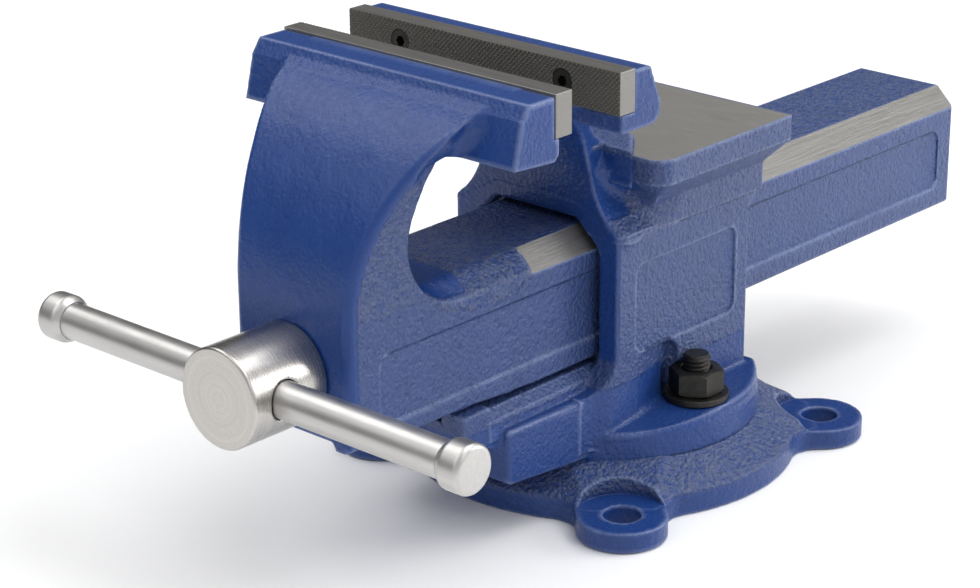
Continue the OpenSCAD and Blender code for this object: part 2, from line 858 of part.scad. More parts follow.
module slide_panel() {
    front_y = arm_front_y + slide_panel_front;
    panel_h = slide_top - slide_bevel - slide_bottom - 2 * slide_panel_margin;
    size = [slide_tail - slide_panel_tail - front_y, panel_h];
    translate([slide_w / 2 - panel_depth, front_y, slide_bottom + slide_panel_margin])
        rotate([90, 0, 90]) linear_extrude(height = panel_depth + over) round_rect(size, slide_panel_r);
}

// Space under the arm: its lower edges rise a little towards the front, and its front wall ends higher
module arm_relief() {
    low = slide_bottom - over;
    high = slide_bottom + arm_rise;
    front_y = arm_front_y - over;
    rise_y = arm_front_y + arm_rise_set;
    along_x(slide_w + 2 * over) polygon([[front_y, low], [rise_y + arm_rise_len, low],
        [rise_y + arm_rise_len, slide_bottom], [rise_y, high], [front_y, high]]);
    translate([-hollow_half, front_y, low])
        cube([2 * hollow_half, front_wall + 2 * over, arm_notch_h + over]);
}

module moving_jaw() {
    color(blue)
    difference() {
        union() {
            intersection() {
                along_x(jaw_w) arm_side();
                along_y(arm_front_y - over, moving_face_y) arm_front();
            }
            along_y(wall_back_y - front_wall / 2, slide_tail) slide_outline();
            along_x(jaw_w) moving_jaw_side();
        }
        along_y(wall_back_y, slide_tail + over)
            translate([-hollow_half, slide_bottom - over])
                square([2 * hollow_half, slide_top - slide_roof - slide_bottom + over]);
        translate([0, 0, spindle_z]) rod_y(hub_r + run_fit, arm_front_y - over, front_wall + 2 * over);
        arm_relief();
        both_sides() slide_panel();
        plate_screw_holes(moving_face_y, -1);
    }
}

// Spindle: a turned head with a hub, and the lead screw fixed in the hub's bore

// A solid turned about the spindle axis, from points [radius, y]
module turned(points) {
    translate([0, 0, spindle_z])
        rotate([-90, 0, 0]) rotate_extrude() polygon(points);
}

// A hole or screw that runs down from radius r0 to r1 at place y
module down_rod(d, y, r0, r1) {
    translate([0, y, spindle_z - r1]) cylinder(d = d, h = r1 - r0);
}

module spindle_head() {
    bore_r = spigot_r + run_fit;
    color(steel)
    difference() {
        turned([[0, head_front_y], [head_r - head_chamfer, head_front_y],
            [head_r, head_front_y + head_chamfer], [head_r, head_back_y - head_chamfer / 2],
            [head_r - head_chamfer / 2, head_back_y], [hub_r, head_back_y], [hub_r, hub_end_y],
            [bore_r, hub_end_y], [bore_r, spigot_y], [0, spigot_y]]);
        translate([0, bar_y, spindle_z]) rotate([0, 90, 0])
            cylinder(r = bar_d / 2 + bar_gap, h = 2 * head_d, center = true);
        down_rod(set_screw_d + 2 * run_fit, collar_y + collar_t / 2, 0, hub_r + over);
    }
}

module lead_screw() {
    color(steel)
    translate([0, 0, spindle_z])
        screw_solid(spigot_r, spigot_y + part_gap, tail_spigot_r, stop_y + stop_t + part_gap,
            thread_y0, thread_turns);
}

module thrust_washer() {
    color(bronze)
    translate([0, 0, spindle_z])
        ring_along_y(hub_r + 2 * run_fit, collar_r, wall_back_y + part_gap, thrust_t);
}

module set_collar(r_in, r_out, y, len) {
    difference() {
        translate([0, 0, spindle_z]) ring_along_y(r_in + run_fit, r_out, y, len);
        down_rod(set_screw_d + 2 * run_fit, y + len / 2, 0, r_out + over);
    }
}

// A set screw that presses on a shaft of radius r
module set_screw(r, r_out, y) {
    difference() {
        down_rod(set_screw_d, y, r + 2 * run_fit, r_out);
        translate([0, y, spindle_z - r_out - over])
            cylinder(d = set_screw_d / 2, h = set_socket_depth + over, $fn = 6);
    }
}

module retaining_collar() {
    color(steel) set_collar(hub_r, collar_r, collar_y, collar_t);
}

module collar_set_screw() {
    color(dark) set_screw(spigot_r, collar_r, collar_y + collar_t / 2);
}

module stop_collar() {
    color(steel) set_collar(tail_spigot_r, stop_r, stop_y, stop_t);
}

module stop_set_screw() {
    color(dark) set_screw(tail_spigot_r, stop_r, stop_y + stop_t / 2);
}

// Tommy bar and its knobs

module tommy_bar() {
    color(steel)
    translate([0, bar_y, spindle_z]) rotate([0, 90, 0])
        cylinder(d = bar_d, h = bar_len - knob_len, center = true);
}

// Knob on the bar's right end: a flare, a round rim and a chamfered end, bored for the bar
module knob() {
    bar_r = bar_d / 2;
    knob_r = knob_d / 2;
    x0 = bar_len / 2 - knob_len;
    x1 = bar_len / 2;
    bore_r = bar_r + run_fit;
    bore_end = x1 - knob_len / 2 + part_gap;
    translate([0, bar_y, spindle_z]) rotate([0, 90, 0]) rotate_extrude()
        polygon([[bore_r, x0], [bar_r + knob_neck_t, x0], [knob_r, x0 + knob_flare_len],
            [knob_r, x1 - knob_chamfer], [knob_r - knob_chamfer, x1],
            [0, x1], [0, bore_end], [bore_r, bore_end]]);
}

module right_knob() {
    color(steel) knob();
}

module left_knob() {
    color(steel) mirror([1, 0, 0]) knob();
}

// Nut block: stands on the housing's floor inside the slide and steadies the screw

module nut_block() {
    color(steel)
    difference() {
        union() {
            translate([-block_half_w, -foot_half_len, floor_z])
                cube([2 * block_half_w, 2 * foot_half_len, foot_t]);
            along_y(block_front_y, block_rear_y) {
                translate([-block_half_w, floor_z]) square([2 * block_half_w, spindle_z - floor_z]);
                translate([0, spindle_z]) circle(r = block_crown_r);
            }
            translate([0, 0, spindle_z]) rod_y(boss_r, block_rear_y - over, cam_t + over);
            // Feet for the cover's screws
            for (s = [-1, 1])
                translate([s * cover_screw_x - cover_foot_half, block_rear_y - over, floor_z])
                    cube([2 * cover_foot_half, cover_y - block_rear_y + over,
                        cover_screw_z + cover_foot_half - floor_z]);
        }
        translate([0, 0, spindle_z])
            rod_y(block_bore_r, block_front_y - over, nut_block_len + cam_t + 2 * over);
        translate([-cavity_half_w, block_front_y + block_end_wall, cavity_floor])
            cube([2 * cavity_half_w, nut_block_len - 2 * block_end_wall, spindle_z - cavity_floor]);
        // Slot for the half nut's lug
        translate([-cam_lug_r - part_gap, block_rear_y - block_end_wall - over, lug_low_z])
            cube([2 * cam_lug_r + 2 * part_gap, block_end_wall + 2 * over, lug_high_z - lug_low_z]);
        for (s = [-1, 1]) {
            translate([0, s * foot_screw_y, floor_z - over])
                cylinder(d = foot_screw_d + 2 * run_fit, h = foot_t);
            translate([s * cover_screw_x, 0, cover_screw_z])
                rod_y(cover_screw_d / 2 + run_fit, cover_y - cover_screw_len - over,
                    cover_screw_len + 2 * over);
        }
    }
}

module nut_block_screws() {
    color(dark)
    for (s = [-1, 1]) translate([0, s * foot_screw_y, foot_screw_seat]) difference() {
        union() {
            translate([0, 0, -foot_screw_head_h]) cylinder(d = foot_screw_head_d, h = foot_screw_head_h);
            translate([0, 0, -over])
                cylinder(d = foot_screw_d, h = foot_top - foot_screw_tip_gap - foot_screw_seat + over);
        }
        translate([0, 0, -foot_screw_head_h - over])
            cylinder(d = foot_socket_d, h = foot_socket_depth + over, $fn = 6);
    }
}

// Half nut: rides up and down in the block, with a lug at the back for the cam
module half_nut() {
    color(bronze)
    difference() {
        union() {
            translate([-nut_half_w, nut_front_y, nut_base])
                cube([2 * nut_half_w, nut_rear_y - nut_front_y, nut_top - nut_base]);
            translate([0, nut_rear_y - over, spindle_z - cam_lug_set]) rotate([-90, 0, 0])
                cylinder(r = cam_lug_r, h = ring_y - part_gap - nut_rear_y + over, $fn = 8);
        }
        translate([0, 0, spindle_z])
            screw_solid(root_r, nut_cut_y0 - over, root_r, nut_cut_y1 + over,
                nut_cut_y0, nut_cut_turns, nut_thread_gap, nut_flank_gap);
    }
}

// Springs: a six-sided wire along a helix, as one skin from end to end
module spring(y) {
    steps = spring_steps * spring_coils;
    wire_r = spring_wire_d / 2;
    rise = (spring_h - spring_wire_d) / steps;
    points = [for (i = [0:steps], k = [0:spring_sides - 1]) let (
            turn = 360 * i / spring_steps,
            side = 360 * k / spring_sides,
            r = spring_r + wire_r * cos(side))
        [r * cos(turn), y + r * sin(turn), spring_base + wire_r + i * rise + wire_r * sin(side)]];
    function q(i, k) = i * spring_sides + k % spring_sides;
    skin = [for (i = [0:steps - 1], k = [0:spring_sides - 1])
        each [[q(i, k), q(i, k + 1), q(i + 1, k)], [q(i, k + 1), q(i + 1, k + 1), q(i + 1, k)]]];
    caps = [for (k = [1:spring_sides - 2])
        each [[q(0, 0), q(0, k + 1), q(0, k)], [q(steps, 0), q(steps, k), q(steps, k + 1)]]];
    polyhedron(points, concat(skin, caps));
}

module nut_springs() {
    color(steel) for (y = spring_y) spring(y);
}

// Cam plate: turns on the block's boss, and its spiral slot draws the half nut down

function cam_point(t, side) = let (
        a = -90 - t,
        r = cam_lug_set + cam_rate * t + side * cam_slot_half)
    [r * cos(a), r * sin(a)];

module cam_slot() {
    n = cam_slot_steps;
    ts = [for (i = [0:n]) -cam_slot_over + (cam_turn + 2 * cam_slot_over) * i / n];
    polygon(concat([for (t = ts) cam_point(t, -1)], [for (i = [n:-1:0]) cam_point(ts[i], 1)]));
}

module cam_sector() {
    mid = -90 - cam_turn / 2;
    intersection() {
        circle(r = cam_sector_r);
        polygon([[0, 0], for (a = [mid - cam_sector_half, mid + cam_sector_half])
            2 * cam_sector_r * [cos(a), sin(a)]]);
    }
}

module cam_plate() {
    color(machined)
    translate([0, 0, spindle_z]) difference() {
        union() {
            along_y(cam_y, cam_y + cam_t) {
                circle(r = cam_rim_r);
                cam_sector();
            }
            rod_y(cup_r, cam_y, cam_t + ring_t);
        }
        rod_y(cam_bore_r, cam_y - over, cam_t + 2 * over);
        rod_y(ring_out_r + run_fit, ring_y, ring_t + over);
        along_y(cam_y - over, cam_y + cam_t + over) cam_slot();
    }
}

// Friction ring: a split spring ring that drags the cam plate round with the screw
module friction_ring() {
    color(bronze)
    translate([0, 0, spindle_z]) difference() {
        ring_along_y(ring_in_r, ring_out_r, ring_y + part_gap / 2, ring_t - part_gap / 2);
        translate([-ring_split / 2, ring_y - over, 0])
            cube([ring_split, ring_t + 2 * over, ring_out_r + over]);
    }
}

module cam_cover() {
    height = spindle_z + cup_r - foot_top - part_gap;
    color(machined)
    difference() {
        translate([-block_half_w, cover_y, foot_top + part_gap]) cube([2 * block_half_w, cover_t, height]);
        translate([0, 0, spindle_z]) rod_y(block_bore_r, cover_y - over, cover_t + 2 * over);
        for (s = [-1, 1]) translate([s * cover_screw_x, 0, cover_screw_z])
            rod_y(cover_screw_d / 2 + bolt_gap / 2, cover_y - over, cover_t + 2 * over);
    }
}

module cam_cover_screws() {
    color(dark)
    for (s = [-1, 1]) translate([s * cover_screw_x, 0, cover_screw_z]) {
        rod_y(cover_screw_d / 2, cover_y - cover_screw_len, cover_screw_len + cover_t + over);
        rod_y(cover_screw_head_r, cover_y + cover_t, cover_screw_head_h);
    }
}

// Swivel lock: two tee bolts, each with a washer and a nut

module lock_bolts() {
    shank = bolt_top - bolt_chamfer - tee_floor - part_gap;
    color(dark)
    both_sides() translate([lock_r, 0, tee_floor + part_gap]) {
        translate([-tee_head / 2, -tee_head / 2, 0]) cube([tee_head, tee_head, tee_head_t]);
        cylinder(d = lock_bolt_d, h = shank);
        translate([0, 0, shank])
            cylinder(d1 = lock_bolt_d, d2 = lock_bolt_d - 2 * bolt_chamfer, h = bolt_chamfer);
    }
}

module lock_washers() {
    color(dark)
    both_sides() translate([lock_r, 0, ear_z]) difference() {
        cylinder(d = washer_d, h = washer_t);
        translate([0, 0, -over]) cylinder(d = lock_bolt_d + bolt_gap, h = washer_t + 2 * over);
    }
}

// Hexagon nut with its corners turned off at the top
module lock_nut() {
    corner_r = nut_flats / 2 / cos(30);
    chamfer = corner_r - nut_flats / 2;
    translate([lock_r, 0, nut_z + run_fit]) difference() {
        intersection() {
            cylinder(r = corner_r, h = nut_h, $fn = 6);
            cylinder(r1 = corner_r + nut_h, r2 = nut_flats / 2, h = nut_h + chamfer);
        }
        translate([0, 0, -over]) cylinder(d = lock_bolt_d + 2 * run_fit, h = nut_h + 2 * over);
    }
}

module right_lock_nut() {
    color(dark) lock_nut();
}

module left_lock_nut() {
    color(dark) mirror([1, 0, 0]) lock_nut();
}

swivel_base();
vise_body();
fixed_jaw_plate();
fixed_plate_screws();
moving_jaw();
moving_jaw_plate();
moving_plate_screws();
spindle_head();
lead_screw();
thrust_washer();
retaining_collar();
collar_set_screw();
stop_collar();
stop_set_screw();
tommy_bar();
left_knob();
right_knob();
nut_block();
nut_block_screws();
half_nut();
nut_springs();
cam_plate();
friction_ring();
cam_cover();
cam_cover_screws();
lock_bolts();
lock_washers();
left_lock_nut();
right_lock_nut();
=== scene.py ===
import math
import bpy
import mathutils
import numpy as np
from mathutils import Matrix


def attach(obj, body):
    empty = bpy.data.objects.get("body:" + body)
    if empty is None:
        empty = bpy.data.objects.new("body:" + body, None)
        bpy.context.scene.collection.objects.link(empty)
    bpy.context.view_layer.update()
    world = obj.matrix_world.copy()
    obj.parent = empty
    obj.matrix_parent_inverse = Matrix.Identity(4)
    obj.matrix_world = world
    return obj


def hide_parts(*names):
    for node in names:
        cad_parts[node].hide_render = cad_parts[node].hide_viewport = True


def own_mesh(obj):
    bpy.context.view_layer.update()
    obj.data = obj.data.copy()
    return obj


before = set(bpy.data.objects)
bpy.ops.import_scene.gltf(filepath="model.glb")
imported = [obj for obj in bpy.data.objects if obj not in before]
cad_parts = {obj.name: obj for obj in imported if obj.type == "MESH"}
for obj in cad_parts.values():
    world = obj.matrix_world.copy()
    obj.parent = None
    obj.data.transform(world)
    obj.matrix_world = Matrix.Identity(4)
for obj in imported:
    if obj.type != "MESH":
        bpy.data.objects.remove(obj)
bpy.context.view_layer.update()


# Swivel base
# A round iron casting that is bolted to the bench through four lugs. Its cone is left as cast and
# enamelled, and the lugs are spot-faced for the bolt heads. The tee slot for the lock bolts is turned.

MM = 0.001
BASE_R, BASE_TOP = 88, 20.5
LUG_CIRCLE_R, LUG_R, LUG_TOP, BENCH_HOLE_R = 100, 19.5, 9.5, 8.25
LOCK_CIRCLE_R, TEE_FLOOR, PIVOT_R = 54, 4.5, 18


def both(a, b, r):
    """Common part of two solids given by signed distances, with its edge rounded to radius r."""
    corner = np.hypot(np.maximum(a + r, 0), np.maximum(b + r, 0))
    return np.minimum(np.maximum(a, b), -r) + corner


def joined(a, b, r):
    """Two solids together, with a fillet of radius r in the corner between them."""
    corner = np.hypot(np.maximum(r - a, 0), np.maximum(r - b, 0))
    return np.maximum(np.minimum(a, b), r) - corner


def cut(a, b, r):
    """Solid a without solid b, with the edge of the cut rounded to radius r."""
    return both(a, -b, r)


def gradient(field, p, reach=0.04):
    """Unit slope of a field at points p, from four samples at the corners of a tetrahedron."""
    corners = np.array([[1, -1, -1], [-1, -1, 1], [-1, 1, -1], [1, 1, 1]], float)
    slope = sum(k * field(*(p + reach * k).T)[:, None] for k in corners)
    return slope / np.maximum(np.linalg.norm(slope, axis=1, keepdims=True), 1e-9)


def casting_skin(field, low, high, step):
    """Surface field(x, y, z) = 0 as vertices, quads and corner normals, in mm.

    The field is sampled on a grid. Each cell that the surface crosses gets one vertex, placed where the
    tangent planes at its crossed edges meet (least squares), and each crossed edge gets the quad of its
    four cells. The solid is worked out for x >= 0 and reflected. Each corner's normal is the field's
    slope at a point a little way in from that corner.
    """
    pull_to_middle, cell_least, cell_most, at_corner, at_centre = 0.04, -0.1, 1.1, 0.72, 0.28
    low = np.array([-0.5 * step, low[1], low[2]], float)
    count = np.ceil((np.array(high) - low) / step).astype(int) + 2
    x, y, z = np.ogrid[0:count[0], 0:count[1], 0:count[2]]
    value = np.broadcast_to(field(low[0] + step * x, low[1] + step * y, low[2] + step * z), count)
    inside = value < 0
    spots, owners = [], []
    for axis in range(3):
        first = [slice(None)] * 3
        second = [slice(None)] * 3
        first[axis], second[axis] = slice(0, -1), slice(1, None)
        a, b = inside[tuple(first)], inside[tuple(second)]
        index = np.argwhere(a != b)
        begin = value[tuple(first)][a != b]
        end = value[tuple(second)][a != b]
        spot = index.astype(float)
        spot[:, axis] += begin / (begin - end)
        spots.append(low + step * spot)
        u, v = np.roll(np.eye(3, dtype=int), axis, axis=1)[1:]
        cells = np.stack([index - u - v, index - v, index, index - u], axis=1)
        outward = a[a != b]
        cells = np.where(outward[:, None, None], cells, cells[:, ::-1])
        owners.append(cells)
    spots, owners = np.concatenate(spots), np.concatenate(owners)
    normals = gradient(field, spots)
    spots = spots - normals * field(*spots.T)[:, None]
    cell_number = (owners * [count[1] * count[2], count[2], 1]).sum(axis=2)
    flat = np.where((owners >= 0).all(axis=2), cell_number, -1)
    used, link = np.unique(flat, return_inverse=True)
    link = link.reshape(flat.shape)
    many = link.ravel()
    total = len(used)

    def gather(values):
        return np.bincount(many, np.repeat(values, 4), total)

    crossings = gather(np.ones(len(spots)))
    middle = np.stack([gather(spots[:, i]) for i in range(3)], 1) / crossings[:, None]
    plane = (normals * spots).sum(axis=1)
    matrix = np.stack([gather(normals[:, i] * normals[:, j]) for i in range(3) for j in range(3)], 1)
    matrix = matrix.reshape(-1, 3, 3)
    target = np.stack([gather(normals[:, i] * plane) for i in range(3)], 1)
    target -= np.einsum("nij,nj->ni", matrix, middle)
    shift = np.linalg.solve(matrix + pull_to_middle * np.eye(3), target[:, :, None])[:, :, 0]
    place = middle + np.clip(shift, -step, step)
    cell = np.stack([used // (count[1] * count[2]), used // count[2] % count[1], used % count[2]], 1)
    place = np.clip(place, low + step * (cell + cell_least), low + step * (cell + cell_most))
    faces = link[(flat >= 0).all(axis=1)]
    place[cell[:, 0] == 0, 0] = 0
    inset = at_corner * place[faces] + at_centre * place[faces].mean(axis=1, keepdims=True)
    corner_normals = gradient(field, inset.reshape(-1, 3)).reshape(-1, 4, 3)
    twin = np.where(cell[:, 0] == 0, np.arange(total), np.arange(total) + total)
    place = np.concatenate([place, place * [-1, 1, 1]])
    faces = np.concatenate([faces, twin[faces][:, ::-1]])
    corner_normals = np.concatenate([corner_normals, corner_normals[:, ::-1] * [-1, 1, 1]])
    kept, faces = np.unique(faces, return_inverse=True)
    return place[kept], faces.reshape(-1, 4), corner_normals


def edge_share(field, p, reach=0.9):
    """Share of an outer edge at each point, 0 to 1, from the field's Laplacian, which is 1 / radius there."""
    around = sum(field(*(p + reach * k).T) for k in np.concatenate([np.eye(3), -np.eye(3)]))
    return np.clip((around - 6 * field(*p.T)) / reach ** 2 * 1.2 - 0.4, 0, 1)


def placed(name, data):
    """A new object in the scene for a mesh, a light or a camera."""
    thing = bpy.data.objects.new(name, data)
    bpy.context.scene.collection.objects.link(thing)
    return thing


def casting_piece(name, field, low, high, step, grain=None):
    """One object from casting_skin, with its corner normals and, for enamel, grain and edge attributes."""
    place, faces, normals = casting_skin(field, low, high, step)
    mesh = bpy.data.meshes.new(name)
    mesh.from_pydata(place * MM, [], faces)
    mesh.polygons.foreach_set("use_smooth", np.ones(len(faces), bool))
    if grain is not None:
        layer = mesh.attributes.new("grain", "FLOAT", "POINT")
        layer.data.foreach_set("value", np.clip(grain(*place.T), 0, 2).astype(np.float32))
        layer = mesh.attributes.new("edge", "FLOAT", "POINT")
        layer.data.foreach_set("value", edge_share(field, place).astype(np.float32))
    mesh.normals_split_custom_set(normals.reshape(-1, 3))
    return placed(name, mesh)


def lug_place(x, y):
    """Distance out along the nearest diagonal, where a lug stands, and sideways from that diagonal."""
    return (np.abs(x) + np.abs(y)) / math.sqrt(2), np.abs(np.abs(y) - np.abs(x)) / math.sqrt(2)


def base_distance(x, y, z):
    """Disc with a sloped rim, four round lugs on webs, spot faces, bolt holes, tee slot and pivot bore."""
    r = np.hypot(x, y)
    out, side = lug_place(x, y)
    from_lug = np.hypot(out - LUG_CIRCLE_R, side)
    from_slot = np.abs(r - LOCK_CIRCLE_R)
    slope = ((r - BASE_R) * 10 + (z - 10.5) * 17) / math.hypot(10, 17)
    disc = both(both(r - BASE_R, slope, 1.6), both(z - BASE_TOP, -z, 0.6), 0.6)
    lug_plan = np.where(out > LUG_CIRCLE_R, from_lug, side) - LUG_R
    lug = both(lug_plan, both(z - LUG_TOP, -z, 0.6), 1.4)
    web_top = ((out - 70) * 8.5 + (z - BASE_TOP) * 23) / math.hypot(8.5, 23)
    web = both(both(web_top, (side - 21.5 + 0.25 * (out - 71)) * 0.97, 2.5), both(out - 95, -z, 0.6), 2)
    solid = joined(joined(disc, lug, 9), web, 3)
    spot_face = both(from_lug - 19.9, LUG_TOP - z, 0.3)
    solid = cut(solid, both(spot_face, out - 130, 0.3), 0.9)
    solid = both(solid, -z, 0.6)
    solid = cut(solid, from_lug - BENCH_HOLE_R, 0.9)
    slot = np.minimum(both(from_slot - 7.5, TEE_FLOOR - z, 0.2),
                      both(from_slot - 12, np.abs(z - 8.25) - 3.75, 0.2))
    slot = np.minimum(slot, both(np.hypot(x, y - LOCK_CIRCLE_R) - 14, TEE_FLOOR - z, 0.2))
    solid = cut(solid, slot, 0.3)
    return cut(solid, r - (PIVOT_R + 0.05), 0.4)


def base_grain(x, y, z):
    """Coarse on the cone and webs, fine on the rim, the lugs and their spot faces."""
    out, side = lug_place(x, y)
    on_lug = np.hypot(out - LUG_CIRCLE_R, side) < 19
    return np.where(on_lug, 0.2, np.where(z > 10, 1.1, 0.4))


swivel_base = casting_piece("cast_swivel_base", base_distance, (0, -122, -2), (122, 122, 23), step=1.3,
                            grain=base_grain)


def shader_group(name, inputs, outputs):
    """An empty shader node group with named sockets; returns it with its input and output nodes."""
    group = bpy.data.node_groups.new(name, "ShaderNodeTree")
    for socket, kind, value in inputs:
        made = group.interface.new_socket(name=socket, in_out="INPUT", socket_type=kind)
        if value is not None:
            made.default_value = value
    for socket, kind in outputs:
        group.interface.new_socket(name=socket, in_out="OUTPUT", socket_type=kind)
    return group, group.nodes.new("NodeGroupInput"), group.nodes.new("NodeGroupOutput")


def add(tree, kind, **settings):
    """A node of that kind, with attributes set by name and input values set by socket name."""
    node = tree.nodes.new(kind)
    for key, value in settings.items():
        if hasattr(node, key):
            setattr(node, key, value)
        else:
            node.inputs[key.replace("_", " ")].default_value = value
    return node


def feed(tree, socket, value):
    """Links a socket to value where that is a socket too, and sets it otherwise."""
    if isinstance(value, bpy.types.NodeSocket):
        tree.links.new(value, socket)
    else:
        socket.default_value = value


def number(tree, operation, a, b=0.0, c=0.0, clamp=False):
    """A Math node on values or sockets; returns its result."""
    node = tree.nodes.new("ShaderNodeMath")
    node.operation = operation
    node.use_clamp = clamp
    for socket, value in zip(node.inputs, (a, b, c)):
        feed(tree, socket, value)
    return node.outputs[0]


def tint(tree, factor, a, b):
    """A colour mixed from a to b by factor; a and b may be sockets or three numbers."""
    node = tree.nodes.new("ShaderNodeMix")
    node.data_type = "RGBA"
    feed(tree, node.inputs[0], factor)
    for socket, value in ((node.inputs[6], a), (node.inputs[7], b)):
        feed(tree, socket, value if isinstance(value, bpy.types.NodeSocket) else (*value, 1.0))
    return node.outputs[2]


def noise(tree, vector, scale, detail=2.0, roughness=0.5):
    """Noise value between 0 and 1 at a scale in waves per metre."""
    node = add(tree, "ShaderNodeTexNoise", Scale=scale, Detail=detail, Roughness=roughness)
    tree.links.new(vector, node.inputs["Vector"])
    return node.outputs[0]


def split(tree, vector):
    """The X, Y and Z of a vector, as sockets by name."""
    node = tree.nodes.new("ShaderNodeSeparateXYZ")
    tree.links.new(vector, node.inputs[0])
    return node.outputs


def surfaced(tree, shader, colour, rough, height, strength, distance):
    """Gives a shader its colour, roughness and bump; distance is one unit of the height in metres."""
    tree.links.new(colour, shader.inputs["Base Color"])
    tree.links.new(rough, shader.inputs["Roughness"])
    bump = add(tree, "ShaderNodeBump", Strength=strength, Distance=distance)
    tree.links.new(height, bump.inputs["Height"])
    tree.links.new(bump.outputs["Normal"], shader.inputs["Normal"])


def new_material(name):
    """A material with a Principled BSDF: the material, its tree, that shader and the object coordinate."""
    material = bpy.data.materials.new(name)
    material.use_nodes = True
    tree = material.node_tree
    shader = tree.nodes["Principled BSDF"]
    place = tree.nodes.new("ShaderNodeTexCoord").outputs["Object"]
    return material, tree, shader, place


def grain_group():
    """Sand-cast skin under enamel: small rounded bumps at two sizes, and a speckle for roughness and painted
    sheen.
    """
    group, given, result = shader_group(
        "sand_cast_skin",
        [("Place", "NodeSocketVector", None), ("Grain", "NodeSocketFloat", 1.0)],
        [("Height", "NodeSocketFloat"), ("Shade", "NodeSocketFloat"), ("Patch", "NodeSocketFloat")])
    place, grain = given.outputs["Place"], given.outputs["Grain"]
    coarse = noise(group, place, 350.0, 3.0, 0.6)
    fine = noise(group, place, 850.0, 2.0, 0.5)
    wave = noise(group, place, 60.0, 2.0, 0.5)
    pebble = add(group, "ShaderNodeTexVoronoi", feature="SMOOTH_F1", Scale=560.0, Smoothness=0.6)
    group.links.new(place, pebble.inputs["Vector"])
    bumps = number(group, "MULTIPLY_ADD", coarse, 0.9, number(group, "MULTIPLY", fine, 0.35))
    bumps = number(group, "SUBTRACT", bumps, number(group, "MULTIPLY", pebble.outputs["Distance"], 0.5))
    height = number(group, "MULTIPLY", bumps, grain)
    height = number(group, "ADD", height, number(group, "MULTIPLY", wave, 0.5))
    group.links.new(height, result.inputs["Height"])
    speckle = number(group, "MULTIPLY_ADD", coarse, 0.55, number(group, "MULTIPLY", fine, 0.45))
    group.links.new(number(group, "MULTIPLY_ADD", speckle, 5.0, -2.0, True), result.inputs["Shade"])
    group.links.new(number(group, "MULTIPLY_ADD", wave, 2.2, -0.6, True), result.inputs["Patch"])
    return group


SAND_CAST = grain_group()


def scratch_group():
    """Grinding lines: noise on the place times a stretch, drawn out where that is least; and slow blotches."""
    group, given, result = shader_group(
        "grinding_lines",
        [("Place", "NodeSocketVector", None), ("Stretch", "NodeSocketVector", (1.0, 1.0, 1.0))],
        [("Lines", "NodeSocketFloat"), ("Blotch", "NodeSocketFloat")])
    scaled = add(group, "ShaderNodeVectorMath", operation="MULTIPLY")
    group.links.new(given.outputs["Place"], scaled.inputs[0])
    group.links.new(given.outputs["Stretch"], scaled.inputs[1])
    lines = noise(group, scaled.outputs[0], 1.0, 4.0, 0.65)
    blotch = noise(group, given.outputs["Place"], 70.0, 3.0, 0.55)
    group.links.new(number(group, "MULTIPLY_ADD", lines, 1.8, -0.4, True), result.inputs["Lines"])
    group.links.new(number(group, "MULTIPLY_ADD", blotch, 2.0, -0.5, True), result.inputs["Blotch"])
    return group


GRINDING = scratch_group()


def place_group(tree, group, **sockets):
    """An instance of a shader group with its inputs linked or set by name."""
    node = tree.nodes.new("ShaderNodeGroup")
    node.node_tree = group
    for key, value in sockets.items():
        feed(tree, node.inputs[key], value)
    return node.outputs


